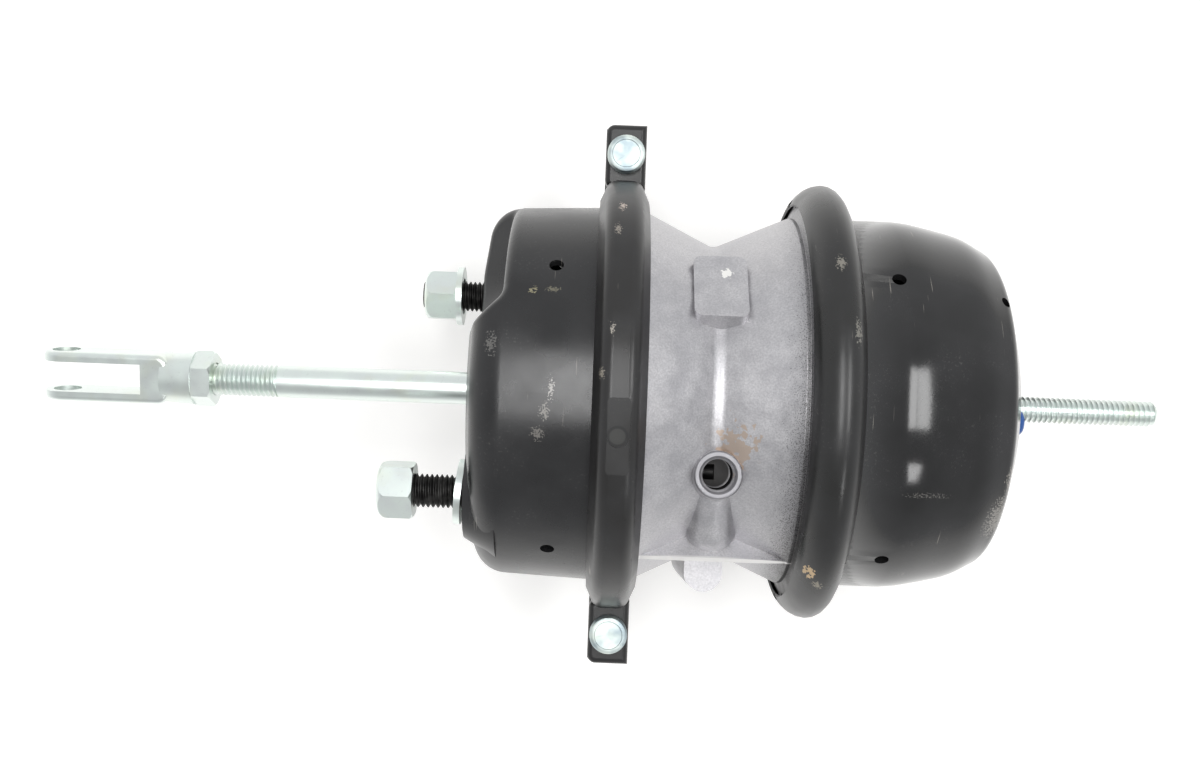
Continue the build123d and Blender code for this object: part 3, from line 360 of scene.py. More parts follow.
@dataclass(frozen=True)
class CastAluminium(Finish):
    """Die-cast aluminium as cast: mottled grey skin, fine grain and black overspray.

    Attributes:
        spray_from: X in millimetres where the overspray from the ring begins.
        spray_full: X in millimetres where it is densest.
        spray_lean: How much Y shifts the overspray, which lies thicker on the -Y side.
    """

    spray_from: float = 126.0
    spray_full: float = 153.0
    spray_lean: float = -0.06

    def lay(self, skin: Skin) -> None:
        """Lay the casting: the skin is grainy and mottled, brighter where the die rubbed it.

        Args:
            skin: The material in the making.
        """
        mottle = (9.0, 6.0)
        skin.cover(skin.cloud(*mottle, 0.35, 0.65), "#c9c8ca")
        skin.cover(skin.cloud(38.0, 3.0, 0.40, 0.70, 0.0, 0.40), "#cfcdcd")
        skin.cover(skin.cloud(0.8, 2.0, 0.30, 0.70, 0.0, 0.55), "#9c9b9e")
        self.overspray(skin)
        low, high = self.roughness - 0.05, self.roughness + 0.10
        skin.dull(skin.cloud(*mottle, 0.3, 0.7, low, high))
        skin.grain(*mottle, 0.16)
        skin.grain(0.8, 2.0, 0.05)

    def overspray(self, skin: Skin) -> None:
        """Lay the overspray: a black mist with specks, which thicken towards the painted ring.

        Args:
            skin: The material in the making.
        """
        tree = skin.tree
        lean = {0: skin.where, 1: (1.0, self.spray_lean, 0.0)}
        along = add_node(tree, "VectorMath", lean, operation="DOT_PRODUCT").outputs["Value"]
        limits = {0: along, 1: self.spray_from * MM, 2: self.spray_full * MM}
        near = add_node(tree, "MapRange", limits, clamp=True).outputs[0]
        mist = add_node(tree, "Math", {0: near, 1: 3.0}, operation="POWER").outputs[0]
        thinned = add_node(tree, "Math", {0: mist, 1: 0.86}, operation="MULTIPLY").outputs[0]
        skin.cover(thinned, "#3b3a39")
        # a speck shows where the grit is above what the distance asks for
        need = add_node(tree, "MapRange", {0: near, 3: 0.76, 4: 0.44}, clamp=True).outputs[0]
        fine = {"Vector": skin.where, "Scale": 1.0 / (0.5 * MM), "Detail": 3.0}
        grit = add_node(tree, "TexNoise", fine).outputs["Fac"]
        over = add_node(tree, "Math", {0: grit, 1: need}, operation="SUBTRACT").outputs[0]
        speck = add_node(tree, "MapRange", {0: over, 2: 0.12, 4: 0.72}, clamp=True).outputs[0]
        start = add_node(tree, "MapRange", {0: near, 1: 0.05, 2: 0.4}, clamp=True).outputs[0]
        share = add_node(tree, "Math", {0: speck, 1: start}, operation="MULTIPLY").outputs[0]
        skin.cover(share, "#333231")


@dataclass(frozen=True)
class ZincPlate(Finish):
    """Bright zinc plate with a passivation tint, over turned or rolled steel."""

    def lay(self, skin: Skin) -> None:
        """Lay the plate: cool and bright, with faint yellow and green passivation clouds.

        Args:
            skin: The material in the making.
        """
        skin.cover(skin.cloud(9.0, 2.0, 0.38, 0.66), "#e2ebe6")
        skin.cover(skin.cloud(14.0, 2.0, 0.55, 0.80, 0.0, 0.30), "#d6d8b8")
        skin.cover(skin.cloud(1.6, 3.0, 0.62, 0.80, 0.0, 0.25), "#a9b0ad")
        skin.dull(skin.cloud(9.0, 2.0, 0.3, 0.7, self.roughness, self.roughness + 0.07))
        skin.grain(2.4, 3.0, 0.012)


@dataclass(frozen=True)
class RawSteel(Finish):
    """Phosphated, blackened or spring steel: dark, fine-grained, lightly oiled.

    Attributes:
        worn: sRGB hex of the brighter worn grain.
        grit: Grain size in millimetres.
    """

    worn: str = "#5a5957"
    grit: float = 0.7

    def lay(self, skin: Skin) -> None:
        """Lay the steel: an uneven oxide, with brighter grain where it has rubbed.

        Args:
            skin: The material in the making.
        """
        skin.cover(skin.cloud(4.5, 4.0, 0.45, 0.75, 0.0, 0.7), self.worn)
        low, high = self.roughness - 0.05, self.roughness + 0.12
        skin.dull(skin.cloud(4.5, 4.0, 0.3, 0.7, low, high))
        skin.grain(self.grit, 2.0, 0.02)


@dataclass(frozen=True)
class MouldedRubber(Finish):
    """Moulded rubber over fabric: matt, with the weave showing faintly through.

    Attributes:
        weave: Thread spacing in millimetres, or 0 for plain rubber.
    """

    weave: float = 0.0

    def lay(self, skin: Skin) -> None:
        """Lay the rubber: a dull skin with a bloom, and a soft weave on a diaphragm.

        Args:
            skin: The material in the making.
        """
        skin.cover(skin.cloud(12.0, 4.0, 0.45, 0.8, 0.0, 0.6), "#3c3b3a")
        skin.grain(0.9, 2.0, 0.03)
        # the wave texture at a scale of 1 has its bands 0.32 m apart
        band = 0.32
        for direction in ("Y", "Z") if self.weave > 0 else ():
            bands = {"Vector": skin.where, "Scale": band / (self.weave * MM), "Distortion": 0.4}
            threads = add_node(skin.tree, "TexWave", bands, bands_direction=direction)
            skin.emboss(threads.outputs["Fac"], 0.05)


@dataclass(frozen=True)
class MouldedPlastic(Finish):
    """Injection-moulded plastic: even colour, soft sheen, faint flow marks."""

    def lay(self, skin: Skin) -> None:
        """Lay the plastic: a little light passes under its fine spark-eroded texture.

        Args:
            skin: The material in the making.
        """
        low, high = self.roughness - 0.06, self.roughness + 0.08
        skin.dull(skin.cloud(7.0, 3.0, 0.3, 0.7, low, high))
        skin.grain(0.5, 1.0, 0.015)
        skin.shader.inputs["Subsurface Weight"].default_value = 0.08
        skin.shader.inputs["Subsurface Radius"].default_value = (0.001, 0.001, 0.0012)


# -------------------- mesh helpers


def sweep(
    mesh: bmesh.types.BMesh, outline: Outline, steps: int, turns: int = 1, pitch: float = 0.0
) -> None:
    """Spin an outline of (x, radius) points round the X axis.

    Args:
        mesh: The mesh that gets the swept shape.
        outline: Points in millimetres from one end to the other.
        steps: Faces round one turn.
        turns: Number of turns.
        pitch: Advance along X in one turn, or 0 for a closed turned shape.
    """
    verts = [mesh.verts.new((x, 0.0, r)) for x, r in outline]
    edges = [mesh.edges.new(pair) for pair in zip(verts, verts[1:])]
    bmesh.ops.spin(
        mesh,
        geom=verts + edges,
        cent=(0, 0, 0),
        axis=(1, 0, 0),
        dvec=(pitch / steps, 0, 0),
        angle=math.tau * turns,
        steps=steps * turns,
        use_merge=not pitch,
    )


def lathe(mesh: bmesh.types.BMesh, outline: Outline, steps: int = 64) -> list[bmesh.types.BMVert]:
    """Turn an outline of (x, radius) points into a closed shape round the X axis.

    Args:
        mesh: The mesh that gets the turned shape.
        outline: Points in millimetres from one end to the other.
        steps: Faces round the axis.

    Returns:
        The new vertices.
    """
    before = set(mesh.verts)
    sweep(mesh, outline, steps)
    made = [v for v in mesh.verts if v not in before]
    bmesh.ops.remove_doubles(mesh, verts=made, dist=1e-4)
    made = [v for v in mesh.verts if v not in before]
    faces = list({f for v in made for f in v.link_faces})
    bmesh.ops.recalc_face_normals(mesh, faces=faces)
    return made


def helix(outline: Outline, pitch: float, steps: int, turns: int) -> bmesh.types.BMesh:
    """Wind an outline of (x, radius) points round the X axis as a thread.

    Args:
        outline: One pitch of the thread's profile in millimetres.
        pitch: Advance along X in one turn.
        steps: Faces round one turn.
        turns: Number of turns.

    Returns:
        The wound surface, with its turns joined.
    """
    work = bmesh.new()
    sweep(work, outline, steps, turns, pitch)
    bmesh.ops.remove_doubles(work, verts=work.verts[:], dist=1e-3)
    return work


def block(mesh: bmesh.types.BMesh, size: Point, centre: Point) -> list[bmesh.types.BMVert]:
    """Add a rectangular block.

    Args:
        mesh: The mesh that gets the block.
        size: Its sides along X, Y and Z in millimetres.
        centre: Its middle in millimetres.

    Returns:
        The block's vertices.
    """
    made = bmesh.ops.create_cube(mesh, size=1.0)["verts"]
    bmesh.ops.scale(mesh, vec=size, verts=made)
    bmesh.ops.translate(mesh, vec=centre, verts=made)
    return made


@dataclass(frozen=True)
class ThreadForm:
    """A cut screw thread along X.

    Attributes:
        crest: Crest radius in millimetres.
        pitch: Pitch in millimetres.
        depth: Crest to root in millimetres.
        start: X where the thread begins.
        end: X where it ends.
        lead_in: Chamfer at the low-X end (positive) or the high-X end (negative).
        steps: Faces round one turn.
    """

    crest: float
    pitch: float
    depth: float
    start: float
    end: float
    lead_in: float = 1.2
    steps: int = 36

    def cut(self, mesh: bmesh.types.BMesh) -> list[bmesh.types.BMVert]:
        """Add the thread to a mesh, with its ends cut square and their rims filled.

        A rim that isn't one closed loop is left open: so are the studs at their outer end,
        whose thread faces are turned in, and the caging bolt inside its foot.

        Args:
            mesh: The mesh that gets the thread.

        Returns:
            The thread's vertices.
        """
        root, crest = self.crest - self.depth, self.crest
        rise = ((0.0, root), (0.09, root), (0.44, crest))
        fall = ((0.56, crest), (0.91, root), (1.0, root))
        profile = tuple((self.start + (s - 1.0) * self.pitch, r) for s, r in rise + fall)
        # one turn more at each end than is needed, for the planes to cut off
        turns = math.ceil((self.end - self.start) / self.pitch) + 2
        work = helix(profile, self.pitch, self.steps, turns)
        for at, away in ((self.start, -1), (self.end, 1)):
            cut = bmesh.ops.bisect_plane(
                work,
                geom=work.verts[:] + work.edges[:] + work.faces[:],
                plane_co=(at, 0, 0),
                plane_no=(away, 0, 0),
                clear_outer=True,
            )
            rim = [g for g in cut["geom_cut"] if isinstance(g, bmesh.types.BMEdge)]
            bmesh.ops.edgeloop_fill(work, edges=rim)
        tip = self.start if self.lead_in > 0 else self.end
        for vert in work.verts:
            radius = math.hypot(vert.co.y, vert.co.z)
            allowed = crest - max(0.0, abs(self.lead_in) - abs(vert.co.x - tip))
            if radius > allowed:
                vert.co.y *= allowed / radius
                vert.co.z *= allowed / radius
        bmesh.ops.recalc_face_normals(work, faces=work.faces[:])
        return merge(mesh, work)


def merge(target: bmesh.types.BMesh, work: bmesh.types.BMesh) -> list[bmesh.types.BMVert]:
    """Move a work mesh into another one.

    Args:
        target: The mesh that receives it.
        work: The mesh that is emptied and freed.

    Returns:
        The vertices that arrived.
    """
    before = set(target.verts)
    carrier = bpy.data.meshes.new("carrier")
    work.to_mesh(carrier)
    work.free()
    target.from_mesh(carrier)
    bpy.data.meshes.remove(carrier)
    return [v for v in target.verts if v not in before]


def placed(mesh: bmesh.types.BMesh, name: str) -> bpy.types.Object:
    """Put a mesh into the scene as an object.

    Args:
        mesh: The mesh, which is freed.
        name: The object's name.

    Returns:
        The object, at the origin.
    """
    data = bpy.data.meshes.new(name)
    mesh.to_mesh(data)
    mesh.free()
    item = bpy.data.objects.new(name, data)
    bpy.context.scene.collection.objects.link(item)
    return item


def copied(node: str) -> bmesh.types.BMesh:
    """Copy a CAD node's mesh into a closed work mesh in millimetres.

    Args:
        node: The node's name.

    Returns:
        The merged copy.
    """
    work = bmesh.new()
    work.from_mesh(frame["nodes"][node].data)
    bmesh.ops.remove_doubles(work, verts=work.verts[:], dist=1e-6)
    bmesh.ops.scale(work, vec=(1 / MM, 1 / MM, 1 / MM), verts=work.verts[:])
    return work


def carve(body: bmesh.types.BMesh, cutters: bmesh.types.BMesh) -> bmesh.types.BMesh:
    """Cut closed shapes out of a closed mesh.

    Args:
        body: The mesh that is cut, which is freed.
        cutters: The shapes that cut it, which are freed.

    Returns:
        The cut mesh.
    """
    blank, tool = placed(body, "blank"), placed(cutters, "cutters")
    knife = blank.modifiers.new("cut", "BOOLEAN")
    knife.operation = "DIFFERENCE"
    knife.solver = "EXACT"
    knife.object = tool
    graph = bpy.context.evaluated_depsgraph_get()
    done = bpy.data.meshes.new_from_object(blank.evaluated_get(graph))
    result = bmesh.new()
    result.from_mesh(done)
    for data in (done, blank.data, tool.data):
        bpy.data.meshes.remove(data)
    return result


@dataclass
class Workshop:
    """Holds the finished materials and turns meshes into pieces of the part.

    Attributes:
        materials: Material of each slot.
    """

    materials: dict[Slot, bpy.types.Material]

    def deliver(
        self,
        mesh: bmesh.types.BMesh,
        name: str,
        slot: Slot,
        body: Body | None,
        stands_for: tuple[str, ...] = (),
        smooth_angle: float = 35.0,
        material: bpy.types.Material | None = None,
        shaded_as: str = "",
    ) -> bpy.types.Object:
        """Finish a mesh in millimetres as an object that rides on a body.

        Args:
            mesh: The mesh, which is freed.
            name: The piece's name.
            slot: The record's slot that it takes its finish from.
            body: The body it rides on, or None for a piece that rides on none.
            stands_for: CAD nodes that it replaces.
            smooth_angle: Edges sharper than this many degrees stay sharp.
            material: A finish of its own, in place of the slot's.
            shaded_as: The CAD node whose corner normals a copy of it keeps.

        Returns:
            The object.
        """
        bmesh.ops.scale(mesh, vec=(MM, MM, MM), verts=mesh.verts[:])
        piece = placed(mesh, name)
        data = piece.data
        data.materials.append(material or self.materials[slot])
        data.shade_smooth()
        data.set_sharp_from_angle(angle=math.radians(smooth_angle))
        if body is not None:
            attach(piece, body.value)
        if stands_for:
            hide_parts(*stands_for)
        if shaded_as:
            corners = frame["nodes"][shaded_as].data.corner_normals
            matching = len(corners) == len(data.loops)
            if matching:
                data.normals_split_custom_set([corner.vector.copy() for corner in corners])
            LOG.info("%s: shading %s", name, "kept" if matching else "made anew")
        place = body.value if body else "two bodies"
        LOG.info("%s: %d faces on %s", name, len(data.polygons), place)
        return piece

    def dress(self, node: str, slot: Slot, material: bpy.types.Material | None = None) -> None:
        """Give a CAD node its procedural finish.

        Args:
            node: The node's name.
            slot: The slot whose finish it gets.
            material: A finish of its own, in place of the slot's.
        """
        carried = frame["nodes"][node]
        finish = material or self.materials[slot]
        if not carried.material_slots:
            carried.data.materials.append(finish)
        for place in carried.material_slots:
            place.material = finish
        LOG.info("%s dressed as %s", node, finish.name)


# -------------------- sub-assemblies


@dataclass
class CrimpedRing:
    """The crimped rear ring: a round arch of sheet steel over the case and housing flanges."""

    outline: Outline = (
        (149.4, 94.4), (148.7, 95.2), (149.6, 97.4),
        (151.6, 100.0), (154.2, 102.3), (157.4, 103.9),
        (161.0, 104.6), (163.7, 104.2), (166.3, 102.9),
        (168.5, 100.6), (170.1, 97.6), (171.2, 94.2),
        (171.9, 91.6), (171.7, 90.7), (171.0, 90.5),
        (170.0, 94.5), (169.5, 96.4), (168.6, 98.2),
        (166.8, 99.6), (153.0, 99.4), (150.6, 97.2),
    )
    steps: int = 160
    slot_x: float = 149.0
    slot_radius: float = 96.6
    slot_size: Point = (2.6, 1.9, 5.4)

    def build(self, shop: Workshop) -> None:
        """Turn the ring and cut its two assembly slots.

        Args:
            shop: The workshop.
        """
        ring = bmesh.new()
        lathe(ring, self.outline + self.outline[:1], self.steps)
        slots = bmesh.new()
        for side in (1, -1):
            ball = bmesh.ops.create_uvsphere(slots, u_segments=24, v_segments=12, radius=1.0)
            bmesh.ops.scale(slots, vec=self.slot_size, verts=ball["verts"])
            centre = (self.slot_x, side * self.slot_radius, 0.0)
            bmesh.ops.translate(slots, vec=centre, verts=ball["verts"])
        shop.deliver(
            carve(ring, slots),
            "crimped_ring",
            Slot.BLACK_PAINT,
            Body.CHAMBER,
            ("crimp_ring",),
            50.0,
            PressedPaint("crimp_ring_paint", "#1c1c1b", 0.26, marks=RING_MARKS).material(),
        )


@dataclass
class FlangeCase:
    """The cast flange case, whose upper port has a thin wall at its mouth."""

    port_x: float = 112.3
    port_y: float = -33.0
    mouth_z: float = 74.5
    foot_z: float = 60.0
    bore: float = 8.4
    boss: float = 13.5
    thinning: float = 0.42

    def build(self, shop: Workshop) -> None:
        """Copy the case's solid and draw the boss in towards its mouth.

        Args:
            shop: The workshop.
        """
        case = copied("flange_case")
        for vert in case.verts:
            radius = math.hypot(vert.co.x - self.port_x, vert.co.y - self.port_y)
            if vert.co.z > self.foot_z and self.bore < radius < self.boss:
                share = (vert.co.z - self.foot_z) / (self.mouth_z - self.foot_z)
                scale = 1 - self.thinning * share * (radius - self.bore) / radius
                vert.co.x = self.port_x + (vert.co.x - self.port_x) * scale
                vert.co.y = self.port_y + (vert.co.y - self.port_y) * scale
        shop.deliver(
            case,
            "cast_flange_case",
            Slot.ALUMINIUM,
            Body.CHAMBER,
            ("flange_case",),
            shaded_as="flange_case",
        )


@dataclass
class SpringHousing:
    """The pressed spring housing, whose end is drawn round by (radius, inset) steps."""

    draw_in: Outline = (
        (42.0, 0.0), (50.0, 1.8), (60.0, 3.9),
        (68.0, 4.7), (72.0, 4.7), (77.0, 3.5),
        (82.0, 1.0), (85.0, 0.0),
    )
    first_x: float = 214.0
    neck_from: float = 169.0
    neck_to: float = 176.0
    neck_share: float = 0.45

    def inset(self, radius: float) -> float:
        """How far the end lies back at a radius.

        Args:
            radius: Distance from the axis in millimetres.

        Returns:
            The distance along X in millimetres.
        """
        for (low, start), (high, stop) in zip(self.draw_in, self.draw_in[1:]):
            if low <= radius <= high:
                share = (radius - low) / (high - low)
                return start + (stop - start) * share
        return 0.0

    def build(self, shop: Workshop) -> None:
        """Copy the housing's solid, draw its end in and tuck its flange under the ring.

        Args:
            shop: The workshop.
        """
        shell = copied("spring_housing")
        for vert in shell.verts:
            if vert.co.x > self.first_x:
                vert.co.x -= self.inset(math.hypot(vert.co.y, vert.co.z))
            elif self.neck_from < vert.co.x < self.neck_to:
                vert.co.x = self.neck_from + (vert.co.x - self.neck_from) * self.neck_share
        shop.deliver(
            shell,
            "spring_housing_shell",
            Slot.BLACK_PAINT,
            Body.CHAMBER,
            ("spring_housing",),
            32.0,
            PressedPaint("spring_housing_paint", "#171717", 0.11, marks=HEAD_MARKS).material(),
        )


@dataclass
class StudSet:
    """The two mounting studs with their welded heads, and the locking inserts of their nuts.

    Attributes:
        spacing: Distance between the studs in millimetres.
        turn: Degrees from +Z to the near stud, towards -Y.
        thread: The thread of one stud.
        shank: Shoulder and head of one stud, as (x, radius).
        insert: One nylon ring as (x from the nut's end, radius).
        nut_ends: X of the outer end of the near and the far nut.
    """

    spacing: float = 120.65
    turn: float = 52.0
    thread: ThreadForm = ThreadForm(7.72, 2.309, 1.35, -33.0, -0.2)
    shank: Outline = (
        (-0.2, 0.0), (-0.2, 8.1), (0.1, 8.4),
        (7.4, 8.4), (7.4, 12.4), (8.0, 13.0),
        (12.0, 13.0), (13.4, 11.0), (13.4, 0.0),
    )
    insert: Outline = ((3.0, 7.9), (0.35, 7.9), (-0.05, 8.15), (-0.05, 8.5), (0.15, 8.7))
    insert_steps: int = 48
    nut_ends: tuple[float, float] = (-40.5, -32.0)

    def places(self) -> list[Vector]:
        """The near and the far stud's centres on the mounting face."""
        angle = math.radians(self.turn)
        near = Vector((0, -math.sin(angle), math.cos(angle))) * self.spacing / 2
        return [near, -near]

    def build(self, shop: Workshop) -> None:
        """Make the threaded studs and the nylon rings in the nuts.

        Args:
            shop: The workshop.
        """
        studs = bmesh.new()
        for place in self.places():
            made = self.thread.cut(studs) + lathe(studs, self.shank)
            bmesh.ops.translate(studs, vec=place, verts=made)
        shop.deliver(
            studs, "stud_threads", Slot.BLACK_STEEL, Body.CHAMBER, ("mounting_studs",), 28.0
        )
        inserts = bmesh.new()
        for place, end in zip(self.places(), self.nut_ends):
            outline = tuple((end + x, radius) for x, radius in self.insert)
            ring = lathe(inserts, outline, self.insert_steps)
            bmesh.ops.translate(inserts, vec=place, verts=ring)
        shop.deliver(inserts, "nut_inserts", Slot.NYLON, Body.CHAMBER)


@dataclass
class ClampBolts:
    """The two clamp bolts with their round heads and grade marks.

    Attributes:
        middle: X of both bolts in millimetres.
        offset: Distance of each bolt from the XZ plane.
        seat: Z that the heads sit on.
        head: Head and plain shank of one bolt, as (x, radius) from the seat.
        thread: The thread of one bolt.
        spins: Degrees that the grade marks of each bolt are turned by.
        mark_size: Sides of one grade mark.
        mark_centre: Middle of the first grade mark.
    """

    middle: float = 68.0
    offset: float = 115.0
    seat: float = 12.0
    head: Outline = (
        (-6.2, 0.0), (-6.2, 6.4), (-6.5, 6.8),
        (-6.5, 7.3), (-6.0, 8.4), (-5.0, 9.0),
        (-0.4, 9.0), (0.0, 8.6), (0.0, 5.55),
        (19.5, 5.55), (19.5, 0.0),
    )
    head_steps: int = 72
    thread: ThreadForm = ThreadForm(5.55, 1.814, 1.0, 19.5, 36.5, -1.0, 28)
    spins: tuple[float, float] = (20.0, 47.0)
    mark_size: Point = (0.6, 0.7, 4.2)
    mark_centre: Point = (-6.2, 0.0, 3.6)

    def build(self, shop: Workshop) -> None:
        """Make both bolts along X first, then stand them up.

        Args:
            shop: The workshop.
        """
        bolts = bmesh.new()
        upright = Matrix.Rotation(math.radians(90), 4, "Y")
        for end, spin in zip((1, -1), self.spins):
            bolt = lathe(bolts, self.head, self.head_steps) + self.thread.cut(bolts)
            for third in range(3):
                mark = block(bolts, self.mark_size, self.mark_centre)
                turn = Matrix.Rotation(math.radians(spin + 120 * third), 4, "X")
                bmesh.ops.transform(bolts, matrix=turn, verts=mark)
                bolt += mark
            place = Matrix.Translation((self.middle, end * self.offset, self.seat)) @ upright
            bmesh.ops.transform(bolts, matrix=place, verts=bolt)
        shop.deliver(
            bolts,
            "clamp_bolt_threads",
            Slot.ZINC,
            Body.CHAMBER,
            ("clamp_bolts",),
            30.0,
            ZincPlate("clamp_bolt_zinc", "#a3b1b6", 0.48, 1.0).material(),
        )


@dataclass
class CagingBolt:
    """The caging bolt: a threaded shank on a T-shaped foot."""

    thread: ThreadForm = ThreadForm(6.35, 2.5, 1.25, 213.5, 331.0, -1.4, 40)
    foot_size: Point = (7.0, 26.0, 12.7)
    foot_centre: Point = (210.0, 0.0, 0.0)
    foot_round: float = 0.8

    def build(self, shop: Workshop) -> None:
        """Make the bolt.

        Args:
            shop: The workshop.
        """
        bolt = bmesh.new()
        self.thread.cut(bolt)
        foot = block(bolt, self.foot_size, self.foot_centre)
        bmesh.ops.bevel(
            bolt,
            geom=list({e for v in foot for e in v.link_edges}),
            offset=self.foot_round,
            segments=3,
            profile=0.5,
            affect="EDGES",
            material=-1,
        )
        shop.deliver(
            bolt, "caging_bolt_thread", Slot.ZINC, Body.CHAMBER, ("release_bolt",), 30.0
        )


@dataclass
class PushRod:
    """The push rod: a plain zinc-plated bar with a rolled thread for the clevis."""

    thread: ThreadForm = ThreadForm(7.9, 2.309, 1.35, -146.0, -98.0, 1.4)
    bar: Outline = (
        (-98.8, 0.0), (-98.8, 6.55), (-97.2, 7.9375),
        (87.2, 7.9375), (87.7, 7.4375), (87.7, 0.0),
    )

    def build(self, shop: Workshop) -> None:
        """Make the rod.

        Args:
            shop: The workshop.
        """
        rod = bmesh.new()
        self.thread.cut(rod)
        lathe(rod, self.bar)
        shop.deliver(rod, "push_rod_thread", Slot.ZINC, Body.ROD_SET, ("push_rod",), 30.0)


@dataclass
class PortThreads:
    """The pipe threads inside the two air ports.

    Attributes:
        port_x: X of both ports in millimetres.
        bore: Radius of the bore.
        pitch: Pitch of the thread.
        depth: Height of its ridge.
        length: How far it reaches down the bore.
        first: How far below the mouth it begins.
        mouths: Y and Z of each mouth, and the side that it opens to.
        steps: Faces round one turn.
    """

    port_x: float = 112.3
    bore: float = 7.6
    pitch: float = 1.411
    depth: float = 0.75
    length: float = 17.0
    first: float = 1.4
    mouths: tuple[Point, ...] = ((-33.0, 74.5, 1.0), (-84.0, -44.0, -1.0))
    steps: int = 32

    def build(self, shop: Workshop) -> None:
        """Make a helical ridge inside each port.

        Args:
            shop: The workshop.
        """
        ridges = bmesh.new()
        crest = self.bore - self.depth
        profile = ((0.0, self.bore), (0.5 * self.pitch, crest), (self.pitch, self.bore))
        for y, z, up in self.mouths:
            work = helix(profile, self.pitch, self.steps, int(self.length / self.pitch))
            bmesh.ops.recalc_face_normals(work, faces=work.faces[:])
            bmesh.ops.reverse_faces(work, faces=work.faces[:])
            made = merge(ridges, work)
            down = Matrix.Rotation(math.radians(90 * up), 4, "Y")
            place = Matrix.Translation((self.port_x, y, z - up * self.first)) @ down
            bmesh.ops.transform(ridges, matrix=place, verts=made)
        shop.deliver(ridges, "port_threads", Slot.ALUMINIUM, Body.CHAMBER, (), 25.0)


@dataclass
class ReturnSpring:
    """The conical return spring, which closes up as the rod comes out."""

    stroke: float = 63.5

    def build(self, shop: Workshop) -> None:
        """Copy the spring's solid as a piece that rides on its seat.

        Args:
            shop: The workshop.
        """
        wire = copied("return_spring")
        piece = shop.deliver(
            wire,
            "return_spring_coils",
            Slot.INNER_STEEL,
            Body.SPRING_SEAT,
            ("return_spring",),
            60.0,
        )
        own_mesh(piece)


@dataclass
class ServiceDiaphragm:
    """The service diaphragm, whose bead is clamped and whose crown follows the push plate."""

    bead_x: float = 72.0
    crown_x: float = 88.0
    crown_clearance: float = 0.25

    def build(self, shop: Workshop) -> None:
        """Copy the diaphragm's solid as a piece that rides on no body.

        The crown's inner face is held off the push plate, which turns against it.

        Args:
            shop: The workshop.
        """
        cup = copied("service_diaphragm")
        for vert in cup.verts:
            if abs(vert.co.x - self.crown_x) < self.crown_clearance / 3:
                vert.co.x += self.crown_clearance
        piece = shop.deliver(
            cup, "service_diaphragm_cup", Slot.DIAPHRAGM, None, ("service_diaphragm",), 40.0
        )
        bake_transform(piece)


# -------------------- studio


@dataclass(frozen=True)
class SoftBox:
    """A soft lamp.

    Attributes:
        name: The lamp's name.
        place: Where it hangs, in metres.
        sides: Its sides along X and along Y, in metres.
        power: Its power in watts.
    """

    name: str
    place: Point
    sides: tuple[float, float]
    power: float

    def hang(self, aim: Point) -> None:
        """Hang the lamp.

        Args:
            aim: The point that it looks at, in metres.
        """
        data = bpy.data.lights.new(self.name, "AREA")
        data.shape = "RECTANGLE"
        data.size, data.size_y = self.sides
        data.energy = self.power
        lamp = bpy.data.objects.new(self.name, data)
        lamp.location = self.place
        back = (Vector(self.place) - Vector(aim)).normalized()
        side = Vector((0.0, 1.0, 0.0)).cross(back).normalized()
        lamp.rotation_euler = Matrix((side, back.cross(side), back)).transposed().to_euler()
        bpy.context.scene.collection.objects.link(lamp)


